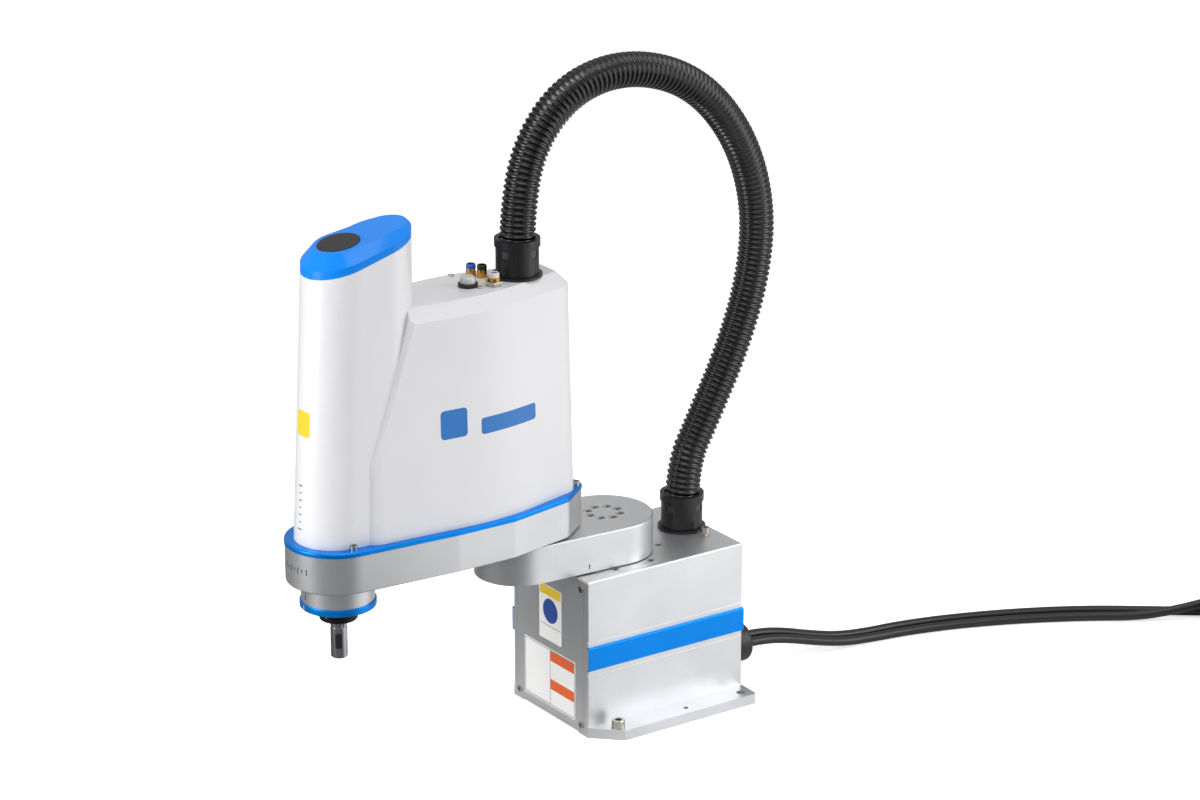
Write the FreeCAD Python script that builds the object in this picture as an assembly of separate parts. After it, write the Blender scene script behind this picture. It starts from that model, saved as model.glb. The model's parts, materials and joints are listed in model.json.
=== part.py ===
import FreeCAD, Part
import math
import os

# Four-axis table robot with a reach of 300 mm and a vertical stroke of 150 mm.
# Millimetres. +X points forward along the arms, +Y to the robot's left, +Z up.
# The origin is the centre of the four base mounting holes, on the underside.

Vector = FreeCAD.Vector
UP = Vector(0, 0, 1)
os.makedirs("parts", exist_ok=True)

# Driving dimensions
# Axes
SHOULDER_INSET = 63.0
INNER_ARM_LENGTH = 100.0
OUTER_ARM_LENGTH = 200.0
# Fits
RUNNING = 0.05
LOOSE = 0.3
# Base housing
BASE_BACK = -85.0
BASE_LENGTH = 184.0
BASE_HALF_WIDTH = 64.1
BASE_HEIGHT = 160.5
BASE_WALL = 6.5
BASE_TOP_WALL = 14.0
FLANGE_THICK = 10.5
FLANGE_OUT = 25.6
FLANGE_NOSE_CUT = 26.5
FLANGE_CORNER_R = 4.0
EDGE_BREAK = 1.2
MOUNT_SPACING_X = 146.5
MOUNT_SPACING_Y = 157.8
MOUNT_HOLE_R = 4.5
DOWEL_HOLE_R = 2.5
DOWEL_X = -7.0
FOOT_RELIEF = 1.5
FOOT_WIDTH = 16.0
PANEL_THICK = 5.0
PANEL_SCREW_INSET = 3.9
PANEL_SCREW_LOW = 10.0
PANEL_SCREW_HIGH = 151.0
CORNER_POST = 14.0
# Side strips
STRIP_BOTTOM = 69.3
STRIP_HEIGHT = 24.0
STRIP_PROUD = 2.5
STRIP_SUNK = 1.5
STRIP_SKIN = 1.1
LEDGE_GAP = 4.6
GROOVE_WIDTH = 1.6
GROOVE_DEPTH = 0.8
# Shoulder
RING_R = 58.9
RING_SEAT = 8.0
RING_PROUD = 0.3
RING_SCREWS_R = 54.0
SHOULDER_HUB_R = 40.0
SHOULDER_HUB_DEPTH = 14.0
REDUCER_FLANGE_R = 52.0
REDUCER_BODY_R = 42.0
REDUCER_HEIGHT = 28.0
# Inner arm
SHOULDER_GAP = 1.4
INNER_HEIGHT = 37.4
INNER_SHOULDER_R = 47.8
INNER_ELBOW_R = 42.3
ARM_SCREWS_R = 15.9
ARM_EDGE_R = 1.5
POCKET_WALL = 7.0
POCKET_DEPTH = 22.0
# Elbow
ARM_GAP = 1.6
ELBOW_HUB_R = 24.0
ELBOW_HUB_HEIGHT = 19.5
ELBOW_RING_R = 33.0
# Outer arm
CASTING_HEIGHT = 36.6
CASTING_WALL = 5.0
CASTING_FLOOR = 6.0
NOSE_R = 48.4
ARM_HALF_WIDTH = 55.0
WIDE_FRONT_AT = 100.0
WIDE_BACK_AT = 160.0
WIDE_CORNER_R = 20.0
TAPER_AT = 228.0
TAPER_HALF_WIDTH = 41.0
TAPER_CORNER_R = 10.0
TAIL_AT = 264.0
TAIL_HALF_WIDTH = 18.0
TAIL_CORNER_R = 5.0
TRIM_THICK = 4.5
TRIM_PROUD = 0.5
NECK_R = 34.5
NECK_HEIGHT = 19.9
NECK_RING_R = 36.0
NECK_RING_HEIGHT = 7.0
NECK_SCREWS_R = 29.0
# Shaft
SHAFT_R = 8.0
SHAFT_BORE_R = 5.5
SHAFT_BELOW_COLLAR = 38.8
SHAFT_LENGTH = 362.0
SPLINE_GROOVES = 3
SPLINE_GROOVE_R = 1.5
TOOL_END_LENGTH = 30.0
RELIEF_WIDTH = 2.0
RELIEF_DEPTH = 0.4
COLLAR_R = 18.0
COLLAR_HEIGHT = 13.6
TOP_COLLAR_R = 13.0
TOP_COLLAR_HEIGHT = 12.0
NUT_R = 16.0
BEARING_R = 20.0
BEARING_WIDTH = 9.0
NUT_PULLEY_R = 20.0
MOTOR_PULLEY_R = 10.0
PULLEY_WIDTH = 11.0
PULLEY_FLANGE = 1.2
BELT_WIDTH = 8.0
BELT_THICK = 2.2
# Motors
SMALL_MOTOR = 40.0
LARGE_MOTOR = 60.0
Z_MOTOR_OFFSET = 48.0
R_MOTOR_OFFSET = 92.0
MOTOR_SHAFT_R = 4.0
BRACKET_R = 26.0
BRACKET_FOOT_R = 33.0
BRACKET_HEIGHT = 48.0
# Cover
COVER_WALL = 2.5
COVER_HEIGHT = 217.0
COVER_BEVEL = 12.0
COVER_DRAFT = 0.023
COLUMN_SLOPE = 0.283
COLUMN_RISE = 45.0
CAP_BAND = 7.4
CAP_FACE_SLOPE = 0.185
CAP_RISE = 17.8
PLUG_R = 20.0
PLUG_AT = 9.0
PLUG_PROUD = 0.8
# Conduit and its glands
CONDUIT_R = 17.0
GLAND_BORE_R = 17.3
GLAND_BODY_R = 20.4
GLAND_RIM_R = 21.7
GLAND_FLANGE_R = 23.6
GLAND_HEIGHT = 37.0
GLAND_FLANGE_THICK = 2.5
GLAND_RIM_HEIGHT = 7.5
GLAND_FLOOR = 17.5
WIRE_HOLE_R = 13.0
BASE_GLAND_X = -62.0
BASE_GLAND_Y = -6.8
ARM_GLAND_Y = 3.0
# Cables
CABLE_R = 4.7
CABLE_GLAND_Y = 20.0
CABLE_GLAND_Z = 35.0
CABLE_GLAND_LENGTH = 34.0
CABLE_GLAND_R = 21.0
POWER_HOLE = (14.0, 36.5)
SIGNAL_HOLE = (26.0, 33.5)
COIL_MEAN_R = 52.5
COIL_TURNS_WIDE = 4
COIL_TURNS_HIGH = 2
COIL_CENTRE = (-623.3, 270.9)

# Places that follow from the sizes above
BASE_FRONT = BASE_BACK + BASE_LENGTH
SHOULDER_X = BASE_FRONT - SHOULDER_INSET
ELBOW_X = SHOULDER_X + INNER_ARM_LENGTH
WRIST_X = ELBOW_X + OUTER_ARM_LENGTH
RING_BOTTOM = BASE_HEIGHT - RING_SEAT
BASE_CEILING = BASE_HEIGHT - BASE_TOP_WALL
INNER_BOTTOM = BASE_HEIGHT + SHOULDER_GAP
INNER_TOP = INNER_BOTTOM + INNER_HEIGHT
CASTING_BOTTOM = INNER_TOP + ARM_GAP
CASTING_TOP = CASTING_BOTTOM + CASTING_HEIGHT
CASTING_INSIDE = CASTING_BOTTOM + CASTING_FLOOR
TRIM_TOP = CASTING_TOP + TRIM_THICK
NECK_BOTTOM = CASTING_BOTTOM - NECK_HEIGHT
NECK_RING_BOTTOM = NECK_BOTTOM - NECK_RING_HEIGHT
COLLAR_TOP = NECK_RING_BOTTOM - LOOSE
SHAFT_BOTTOM = COLLAR_TOP - COLLAR_HEIGHT - SHAFT_BELOW_COLLAR
COVER_TOP = TRIM_TOP + COVER_HEIGHT
COLUMN_TOP = COVER_TOP + COLUMN_RISE
CAP_FACE_TOP = COLUMN_TOP + CAP_RISE
PLUG_X = WRIST_X - PLUG_AT
BRACKET_TOP = TRIM_TOP + BRACKET_HEIGHT
Z_MOTOR_X = WRIST_X - Z_MOTOR_OFFSET
R_MOTOR_X = WRIST_X - R_MOTOR_OFFSET


# Building blocks
def cylinder(radius, height, x, y, z, axis=UP):
    return Part.makeCylinder(radius, height, Vector(x, y, z), axis)


def ring(outer, inner, height, x, y, z, axis=UP):
    return cylinder(outer, height, x, y, z, axis).cut(cylinder(inner, height, x, y, z, axis))


def block(x0, x1, y0, y1, z0, z1):
    return Part.makeBox(x1 - x0, y1 - y0, z1 - z0, Vector(x0, y0, z0))


def joined(shapes):
    result = shapes[0]
    for shape in shapes[1:]:
        result = result.fuse(shape)
    return result.removeSplitter()


def on_circle(radius, count, first_angle, x, y):
    angles = [math.radians(first_angle + 360.0 * i / count) for i in range(count)]
    return [(x + radius * math.cos(a), y + radius * math.sin(a)) for a in angles]


def write(name, shape):
    shape.exportStep("parts/" + name + ".step")


# An outline drawn like a belt round a ring of circles, given counter-clockwise.
# Each circle is (x, y, radius), and a radius of zero gives a sharp corner.
def belt_edges(circles, z):
    def touch(first, second):
        along = Vector(second[0] - first[0], second[1] - first[1], 0)
        length = along.Length
        along.multiply(1 / length)
        outward = Vector(along.y, -along.x, 0)
        lean = (first[2] - second[2]) / length
        normal = along * lean + outward * math.sqrt(1 - lean * lean)
        start = Vector(first[0], first[1], z) + normal * first[2]
        end = Vector(second[0], second[1], z) + normal * second[2]
        return start, end, normal

    count = len(circles)
    sides = [touch(circles[i], circles[(i + 1) % count]) for i in range(count)]
    edges = []
    for i in range(count):
        x, y, radius = circles[i]
        arrive, leave = sides[i - 1], sides[i]
        if radius > 0:
            a = math.atan2(arrive[2].y, arrive[2].x)
            b = math.atan2(leave[2].y, leave[2].x)
            if b < a:
                b += 2 * math.pi
            middle = Vector(x + radius * math.cos((a + b) / 2), y + radius * math.sin((a + b) / 2), z)
            edges.append(Part.Arc(arrive[1], middle, leave[0]).toShape())
        edges.append(Part.LineSegment(leave[0], leave[1]).toShape())
    return edges


def belt_wire(circles, z=0.0):
    return Part.Wire(belt_edges(circles, z))


def belt_solid(circles, z0, z1):
    return Part.Face(belt_wire(circles, z0)).extrude(Vector(0, 0, z1 - z0))


def shrunk(circles, amount):
    return [(x, y, radius - amount) for x, y, radius in circles]


def mirrored_pairs(half):
    return half + [(x, -y, radius) for x, y, radius in reversed(half)]


# A tube along a route: straight runs joined by tangent arcs
ARC_SHARE = 0.45


def route_wire(points, name):
    points = [Vector(*p) for p in points]
    edges = []
    radii = []
    start = points[0]
    for before, corner, after in zip(points, points[1:], points[2:]):
        back = (before - corner).normalize()
        ahead = (after - corner).normalize()
        setback = ARC_SHARE * min((before - corner).Length, (after - corner).Length)
        half_turn = (math.pi - back.getAngle(ahead)) / 2
        radius = setback / math.tan(half_turn)
        radii.append(radius)
        arc_start = corner + back * setback
        arc_end = corner + ahead * setback
        towards = (back + ahead).normalize()
        centre = corner + towards * (radius / math.cos(half_turn))
        middle = centre - towards * radius
        edges.append(Part.LineSegment(start, arc_start).toShape())
        edges.append(Part.Arc(arc_start, middle, arc_end).toShape())
        start = arc_end
    edges.append(Part.LineSegment(start, points[-1]).toShape())
    wire = Part.Wire(edges)
    print(name, "length", round(wire.Length), "radii", [round(r) for r in radii])
    return wire


def tube(points, radius, name):
    wire = route_wire(points, name)
    first, second = Vector(*points[0]), Vector(*points[1])
    section = Part.Wire(Part.makeCircle(radius, first, second - first))
    solid = wire.makePipeShell([section], True, False)
    expected = math.pi * radius * radius * wire.Length
    print(name, "volume over section times length", round(solid.Volume / expected, 4))
    return solid


# Socket-head screw: its head stands on a seat, and its shank goes down the axis
HEAD_SHARE = 1.75


def socket_screw(thread_r, length, x, y, z, axis=UP):
    head_r = thread_r * HEAD_SHARE
    head = cylinder(head_r, thread_r * 2, x, y, z, axis)
    seat = Vector(x, y, z)
    shank_foot = seat - axis * length
    shank = Part.makeCylinder(thread_r, length, shank_foot, axis)
    socket_foot = seat + axis * thread_r
    corners = []
    across = Vector(1, 0, 0) if abs(axis.x) < 0.5 else Vector(0, 1, 0)
    other = axis.cross(across)
    for i in range(7):
        a = math.radians(60 * i)
        corners.append(socket_foot + (across * math.cos(a) + other * math.sin(a)) * thread_r * 0.95)
    socket = Part.Face(Part.makePolygon(corners)).extrude(axis * (thread_r * 1.1))
    return head.fuse(shank).cut(socket).removeSplitter()


def screw_holes(thread_r, length, places, z):
    return [cylinder(thread_r, length, x, y, z - length) for x, y in places]


# Base
PANEL_HALF_WIDTH = BASE_HALF_WIDTH - BASE_WALL - LOOSE
PANEL_SCREW_Y = PANEL_HALF_WIDTH - PANEL_SCREW_INSET
PANEL_SCREW_R = 2.0
PANEL_TOP = BASE_HEIGHT - LOOSE - 3.5
PANEL_BOTTOM = 4.0
RING_SCREW_R = 2.0
RING_SCREW_LENGTH = 10.0
RING_SCREW_SINK = 4.2
ring_screw_places = on_circle(RING_SCREWS_R, 8, 22.5, SHOULDER_X, 0)
GROUND_SCREW = (-67.7, 24.7)
GROUND_SCREW_R = 2.5
GROUND_SCREW_LENGTH = 8.0
GROUND_SCREW_STANDOFF = 3.0


def flange_plate():
    outer = BASE_HALF_WIDTH + FLANGE_OUT
    half = [
        (BASE_FRONT, BASE_HALF_WIDTH, 0),
        (BASE_FRONT - FLANGE_NOSE_CUT, outer, 0),
        (BASE_BACK + FLANGE_CORNER_R, outer - FLANGE_CORNER_R, FLANGE_CORNER_R),
    ]
    return belt_solid(mirrored_pairs(half), 0, FLANGE_THICK)


def side_strip(side):
    y0 = BASE_HALF_WIDTH - STRIP_SUNK
    y1 = BASE_HALF_WIDTH + STRIP_PROUD
    top = STRIP_BOTTOM + STRIP_HEIGHT
    bar = block(BASE_BACK, BASE_FRONT, y0, y1, STRIP_BOTTOM, top)
    long_edges = [e for e in bar.Edges if e.Length > BASE_LENGTH - 1 and e.CenterOfMass.y > y1 - 0.1]
    bar = bar.makeFillet(STRIP_PROUD * 0.6, long_edges)
    rail_bottom = STRIP_BOTTOM + STRIP_SKIN
    rail = block(BASE_BACK, BASE_FRONT, y0, y1 - STRIP_SKIN, rail_bottom, top - STRIP_SKIN)
    skin = bar.cut(rail)
    if side < 0:
        skin = skin.mirror(Vector(0, 0, 0), Vector(0, 1, 0))
        rail = rail.mirror(Vector(0, 0, 0), Vector(0, 1, 0))
    return skin, rail


def base_housing():
    body = block(BASE_BACK, BASE_FRONT, -BASE_HALF_WIDTH, BASE_HALF_WIDTH, 0, BASE_HEIGHT)
    rim = [e for e in body.Edges if e.CenterOfMass.z > FLANGE_THICK]
    body = body.makeChamfer(EDGE_BREAK, rim)
    body = body.fuse(flange_plate())
    inside_y = BASE_HALF_WIDTH - BASE_WALL
    inside = block(BASE_BACK + PANEL_THICK, BASE_FRONT - PANEL_THICK, -inside_y, inside_y, FLANGE_THICK,
                   BASE_CEILING)
    cuts = []
    # Front and rear openings, each with a recess that the panel drops into
    recess_top = PANEL_TOP + LOOSE
    recess_bottom = PANEL_BOTTOM - LOOSE
    for x0 in (BASE_FRONT - PANEL_THICK, BASE_BACK):
        cuts.append(block(x0, x0 + PANEL_THICK, -inside_y, inside_y, recess_bottom, recess_top))
    # Corner posts for the panel screws stay inside the hollow
    posts = []
    for x0 in (BASE_BACK + PANEL_THICK, BASE_FRONT - PANEL_THICK - CORNER_POST):
        for y0 in (-inside_y, inside_y - CORNER_POST):
            posts.append(block(x0, x0 + CORNER_POST, y0, y0 + CORNER_POST, FLANGE_THICK, BASE_CEILING))
    body = body.cut(inside.cut(posts[0]).cut(posts[1:]))
    for side in (-1, 1):
        y = PANEL_SCREW_Y * side
        for z in (PANEL_SCREW_LOW, PANEL_SCREW_HIGH):
            cuts.append(cylinder(PANEL_SCREW_R, CORNER_POST, BASE_FRONT - CORNER_POST, y, z, Vector(1, 0, 0)))
            cuts.append(cylinder(PANEL_SCREW_R, CORNER_POST, BASE_BACK, y, z, Vector(1, 0, 0)))
    # Shoulder seat, wire hole and mounting holes
    cuts.append(cylinder(RING_R, RING_SEAT, SHOULDER_X, 0, RING_BOTTOM))
    cuts.append(cylinder(SHOULDER_HUB_R + 6, BASE_TOP_WALL, SHOULDER_X, 0, BASE_CEILING))
    cuts += screw_holes(RING_SCREW_R, RING_SCREW_LENGTH, ring_screw_places, BASE_HEIGHT - RING_SCREW_SINK)
    cuts.append(cylinder(WIRE_HOLE_R, BASE_TOP_WALL, BASE_GLAND_X, BASE_GLAND_Y, BASE_CEILING))
    cuts.append(cylinder(GROUND_SCREW_R, GROUND_SCREW_LENGTH, GROUND_SCREW[0], GROUND_SCREW[1],
                         BASE_HEIGHT - GROUND_SCREW_LENGTH + GROUND_SCREW_STANDOFF))
    for sx in (-1, 1):
        for sy in (-1, 1):
            x, y = sx * MOUNT_SPACING_X / 2, sy * MOUNT_SPACING_Y / 2
            cuts.append(cylinder(MOUNT_HOLE_R, FLANGE_THICK, x, y, 0))
    for sy in (-1, 1):
        cuts.append(cylinder(DOWEL_HOLE_R, FLANGE_THICK, DOWEL_X, sy * MOUNT_SPACING_Y / 2, 0))
    # Relief under the middle, so that the base stands on its two side rails
    foot = BASE_HALF_WIDTH - FOOT_WIDTH
    cuts.append(block(BASE_BACK, BASE_FRONT, -foot, foot, 0, FOOT_RELIEF))
    # Strip seats and the fine grooves above and below them
    strip_top = STRIP_BOTTOM + STRIP_HEIGHT
    for sy in (-1, 1):
        wall = sy * BASE_HALF_WIDTH
        seat = wall - sy * STRIP_SUNK
        cuts.append(block(BASE_BACK, BASE_FRONT, min(wall, seat), max(wall, seat), STRIP_BOTTOM, strip_top))
        groove = wall - sy * GROOVE_DEPTH
        for z in (strip_top + LEDGE_GAP, STRIP_BOTTOM - LEDGE_GAP - GROOVE_WIDTH):
            low, high = min(wall, groove), max(wall, groove)
            cuts.append(block(BASE_BACK, BASE_FRONT, low, high, z, z + GROOVE_WIDTH))
    return body.cut(cuts).removeSplitter()


# A plate, scalloped where the shoulder ring reaches over its top edge
def panel(x0):
    plate = block(x0, x0 + PANEL_THICK, -PANEL_HALF_WIDTH, PANEL_HALF_WIDTH, PANEL_BOTTOM, PANEL_TOP)
    return plate.cut(cylinder(RING_R + LOOSE, RING_SEAT + LOOSE, SHOULDER_X, 0, RING_BOTTOM - LOOSE))


def panel_screw_places():
    return [(sy * PANEL_SCREW_Y, z) for sy in (-1, 1) for z in (PANEL_SCREW_LOW, PANEL_SCREW_HIGH)]


PANEL_SCREW_LENGTH = 10.0
PANEL_HEAD_SINK = 2.6


def panel_with_screws(outer_face, out):
    axis = Vector(out, 0, 0)
    plate = panel(outer_face - PANEL_THICK if out > 0 else outer_face)
    seat_x = outer_face - out * PANEL_HEAD_SINK
    screws = []
    for y, z in panel_screw_places():
        plate = plate.cut(cylinder(PANEL_SCREW_R * HEAD_SHARE, PANEL_HEAD_SINK, seat_x, y, z, axis))
        plate = plate.cut(cylinder(PANEL_SCREW_R, PANEL_THICK, outer_face - out * PANEL_THICK, y, z, axis))
        screws.append(socket_screw(PANEL_SCREW_R, PANEL_SCREW_LENGTH, seat_x, y, z, axis))
    return plate, Part.makeCompound(screws)


# Rear cable gland: a hexagon, a domed nut and a rubber plug with two holes
GLAND_HEX_LENGTH = 11.0
GLAND_THREAD_R = 16.0
GLAND_LIP = 2.0


def cable_gland():
    out = Vector(-1, 0, 0)
    wall = BASE_BACK
    y, z = CABLE_GLAND_Y, CABLE_GLAND_Z
    washer = cylinder(CABLE_GLAND_R, GLAND_LIP, wall, y, z, out)
    hex_x = wall - GLAND_LIP
    corners = []
    for i in range(7):
        a = math.radians(60 * i + 30)
        corners.append(Vector(hex_x, y + CABLE_GLAND_R * math.cos(a), z + CABLE_GLAND_R * math.sin(a)))
    hexagon = Part.Face(Part.makePolygon(corners)).extrude(out * GLAND_HEX_LENGTH)
    dome_x = hex_x - GLAND_HEX_LENGTH
    dome_length = CABLE_GLAND_LENGTH - GLAND_LIP - GLAND_HEX_LENGTH
    dome = cylinder(CABLE_GLAND_R - 1, dome_length, dome_x, y, z, out)
    tip = [e for e in dome.Edges if e.CenterOfMass.x < dome_x - dome_length + 0.1]
    dome = dome.makeFillet(4.5, tip)
    inner_end = PANEL_THICK + 6
    thread = cylinder(GLAND_THREAD_R, inner_end, wall + inner_end, y, z, out)
    bore = cylinder(GLAND_THREAD_R - 2, CABLE_GLAND_LENGTH + inner_end, wall + inner_end, y, z, out)
    shell = joined([washer, hexagon, dome, thread]).cut(bore)
    plug = cylinder(GLAND_THREAD_R - 2, CABLE_GLAND_LENGTH, wall, y, z, out)
    for hole_y, hole_z in (POWER_HOLE, SIGNAL_HOLE):
        plug = plug.cut(cylinder(CABLE_R, CABLE_GLAND_LENGTH, wall, hole_y, hole_z, out))
    return shell, plug


# Conduit gland: flange, latch windows, a bore for the conduit and a floor
def conduit_gland(x, y, z, wire_hole_depth):
    flange = cylinder(GLAND_FLANGE_R, GLAND_FLANGE_THICK, x, y, z)
    body = cylinder(GLAND_BODY_R, GLAND_HEIGHT, x, y, z)
    rim = cylinder(GLAND_RIM_R, GLAND_RIM_HEIGHT, x, y, z + GLAND_HEIGHT - GLAND_RIM_HEIGHT)
    spigot = cylinder(WIRE_HOLE_R - LOOSE, wire_hole_depth, x, y, z - wire_hole_depth)
    bore = cylinder(GLAND_BORE_R, GLAND_HEIGHT, x, y, z + GLAND_FLOOR)
    wires = cylinder(WIRE_HOLE_R - 3, GLAND_FLOOR + wire_hole_depth, x, y, z - wire_hole_depth)
    gland = joined([flange, body, rim, spigot]).cut([bore, wires])
    # Four latch windows under the rim
    windows = []
    for i in range(4):
        window = block(GLAND_BORE_R - 1, GLAND_RIM_R + 1, -4.0, 4.0, 0, 6.5)
        window.translate(Vector(x, y, z + GLAND_HEIGHT - GLAND_RIM_HEIGHT - 9))
        window.rotate(Vector(x, y, 0), UP, 90 * i + 20)
        windows.append(window)
    return gland.cut(windows)


# Shoulder drive
def shoulder_ring():
    body = ring(RING_R, SHOULDER_HUB_R + RUNNING, RING_SEAT + RING_PROUD, SHOULDER_X, 0, RING_BOTTOM)
    head_seat = BASE_HEIGHT - RING_SCREW_SINK
    for x, y in ring_screw_places:
        body = body.cut(cylinder(RING_SCREW_R * HEAD_SHARE + LOOSE, RING_SEAT, x, y, head_seat))
        body = body.cut(cylinder(RING_SCREW_R, RING_SEAT, x, y, RING_BOTTOM))
    return body


def shoulder_reducer():
    flange_height = 5.0
    flange = cylinder(REDUCER_FLANGE_R, flange_height, SHOULDER_X, 0, BASE_CEILING - flange_height)
    body = cylinder(REDUCER_BODY_R, REDUCER_HEIGHT, SHOULDER_X, 0, BASE_CEILING - REDUCER_HEIGHT)
    return joined([flange, body])


def square_motor(size, length, x, y, z):
    half = size / 2
    frame = block(x - half, x + half, y - half, y + half, z, z + length)
    frame = frame.makeChamfer(size * 0.08, [e for e in frame.Edges if abs(e.Length - length) < 0.01])
    return frame


SHOULDER_MOTOR_LENGTH = 66.0
ENCODER_LENGTH = 18.0


def shoulder_motor():
    top = BASE_CEILING - REDUCER_HEIGHT
    frame = square_motor(LARGE_MOTOR, SHOULDER_MOTOR_LENGTH, SHOULDER_X, 0, top - SHOULDER_MOTOR_LENGTH)
    bottom = top - SHOULDER_MOTOR_LENGTH - ENCODER_LENGTH
    encoder = cylinder(LARGE_MOTOR * 0.38, ENCODER_LENGTH, SHOULDER_X, 0, bottom)
    return joined([frame, encoder])


# Inner arm with its shoulder hub, elbow hub and screws
ARM_SCREW_R = 2.0
ARM_SCREW_SINK = 5.0
arm_screw_places = on_circle(ARM_SCREWS_R, 8, 0, SHOULDER_X, 0)


def inner_arm():
    outline = [(SHOULDER_X, 0, INNER_SHOULDER_R), (ELBOW_X, 0, INNER_ELBOW_R)]
    body = belt_solid(outline, INNER_BOTTOM, INNER_TOP)
    body = body.makeFillet(ARM_EDGE_R, [e for e in body.Edges if abs(e.CenterOfMass.z - INNER_TOP) < 0.1])
    # Lightening pocket from below, between the two hubs
    pocket_near = SHOULDER_X + SHOULDER_HUB_R + 12
    pocket_far = ELBOW_X - 12
    pocket_r = INNER_ELBOW_R - POCKET_WALL - 8
    pocket = [(pocket_near, 0, 8), (pocket_far, 0, pocket_r)]
    body = body.cut(belt_solid(pocket, INNER_BOTTOM, INNER_BOTTOM + POCKET_DEPTH))
    for x, y in arm_screw_places:
        seat = INNER_TOP - ARM_SCREW_SINK
        body = body.cut(cylinder(ARM_SCREW_R * HEAD_SHARE + LOOSE, ARM_SCREW_SINK, x, y, seat))
        body = body.cut(cylinder(ARM_SCREW_R, INNER_HEIGHT, x, y, INNER_BOTTOM))
    return body


HUB_SCREW_DEPTH = 8.0


def shoulder_hub():
    hub = cylinder(SHOULDER_HUB_R, SHOULDER_HUB_DEPTH, SHOULDER_X, 0, INNER_BOTTOM - SHOULDER_HUB_DEPTH)
    return hub.cut(screw_holes(ARM_SCREW_R, HUB_SCREW_DEPTH, arm_screw_places, INNER_BOTTOM))


def arm_screws():
    seat = INNER_TOP - ARM_SCREW_SINK
    length = seat - INNER_BOTTOM + HUB_SCREW_DEPTH
    return Part.makeCompound([socket_screw(ARM_SCREW_R, length, x, y, seat) for x, y in arm_screw_places])


def elbow_hub():
    return cylinder(ELBOW_HUB_R, ELBOW_HUB_HEIGHT, ELBOW_X, 0, INNER_TOP)


# Outer arm casting: round nose, sides that widen, and a narrow tail
ARM_TAIL = WRIST_X - TAIL_AT


def arm_outline(grow):
    half = [
        (WRIST_X, 0, NOSE_R + grow),
        (WRIST_X - WIDE_FRONT_AT, ARM_HALF_WIDTH - WIDE_CORNER_R, WIDE_CORNER_R + grow),
        (WRIST_X - WIDE_BACK_AT, ARM_HALF_WIDTH - WIDE_CORNER_R, WIDE_CORNER_R + grow),
        (WRIST_X - TAPER_AT, TAPER_HALF_WIDTH - TAPER_CORNER_R, TAPER_CORNER_R + grow),
        (ARM_TAIL + TAIL_CORNER_R, TAIL_HALF_WIDTH - TAIL_CORNER_R, TAIL_CORNER_R + grow),
    ]
    return half + [(x, -y, radius) for x, y, radius in reversed(half[1:])]


ELBOW_BOSS_HEIGHT = 13.0
ELBOW_BOSS_R = 40.0
NUT_BOSS_R = 27.0
TRIM_SCREW_R = 2.0
TRIM_SCREW_LENGTH = 9.0
TRIM_HEAD_HEIGHT = TRIM_SCREW_R * 2
TRIM_HEAD_R = TRIM_SCREW_R * HEAD_SHARE
trim_screw_corners = [(WRIST_X + 5.6, 39.8), (ARM_TAIL + 7.6, 16.6)]
trim_screw_places = [(x, side * y) for x, y in trim_screw_corners for side in (-1, 1)]


def outer_casting():
    body = belt_solid(arm_outline(0), CASTING_BOTTOM, CASTING_TOP)
    low_edges = [e for e in body.Edges if abs(e.CenterOfMass.z - CASTING_BOTTOM) < 0.1]
    body = body.makeFillet(ARM_EDGE_R, low_edges)
    hollow = belt_solid(arm_outline(-CASTING_WALL), CASTING_INSIDE, CASTING_TOP)
    pillars = [cylinder(5.5, CASTING_HEIGHT, x, y, CASTING_BOTTOM) for x, y in trim_screw_places]
    elbow_boss = cylinder(ELBOW_BOSS_R, ELBOW_BOSS_HEIGHT, ELBOW_X, 0, CASTING_INSIDE)
    nut_boss = cylinder(NUT_BOSS_R, 3.0, WRIST_X, 0, CASTING_INSIDE)
    body = body.cut(hollow.cut([elbow_boss, nut_boss] + pillars))
    neck = cylinder(NECK_R, NECK_HEIGHT, WRIST_X, 0, NECK_BOTTOM)
    body = body.fuse(neck)
    cuts = [
        cylinder(ELBOW_RING_R, CASTING_HEIGHT, ELBOW_X, 0, CASTING_BOTTOM),
        cylinder(BEARING_R, CASTING_HEIGHT + NECK_HEIGHT, WRIST_X, 0, NECK_BOTTOM),
    ]
    cuts += screw_holes(TRIM_SCREW_R, TRIM_SCREW_LENGTH, trim_screw_places, CASTING_TOP)
    cuts += [cylinder(NECK_SCREW_R, NECK_SCREW_GRIP, x, y, NECK_BOTTOM) for x, y in neck_screw_places]
    return body.cut(cuts).removeSplitter()


NECK_SCREW_R = 1.5
NECK_SCREW_GRIP = 6.0
NECK_SCREW_SINK = 3.0
neck_screw_places = on_circle(NECK_SCREWS_R, 6, 30, WRIST_X, 0)


def neck_ring():
    body = ring(NECK_RING_R, COLLAR_R - 1, NECK_RING_HEIGHT, WRIST_X, 0, NECK_RING_BOTTOM)
    outer = [e for e in body.Edges if abs(e.Length - 2 * math.pi * NECK_RING_R) < 0.1]
    body = body.makeFillet(1.2, outer)
    for x, y in neck_screw_places:
        body = body.cut(cylinder(NECK_SCREW_R * HEAD_SHARE + 0.1, NECK_SCREW_SINK, x, y, NECK_RING_BOTTOM))
        body = body.cut(cylinder(NECK_SCREW_R, NECK_RING_HEIGHT, x, y, NECK_RING_BOTTOM))
    return body


def neck_screws():
    seat = NECK_RING_BOTTOM + NECK_SCREW_SINK
    length = NECK_RING_HEIGHT - NECK_SCREW_SINK + NECK_SCREW_GRIP
    down = Vector(0, 0, -1)
    screws = [socket_screw(NECK_SCREW_R, length, x, y, seat, down) for x, y in neck_screw_places]
    return Part.makeCompound(screws)


# Elbow bearing ring, and the reducer that stands on the casting's boss
ELBOW_REDUCER_R = 38.0


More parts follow.
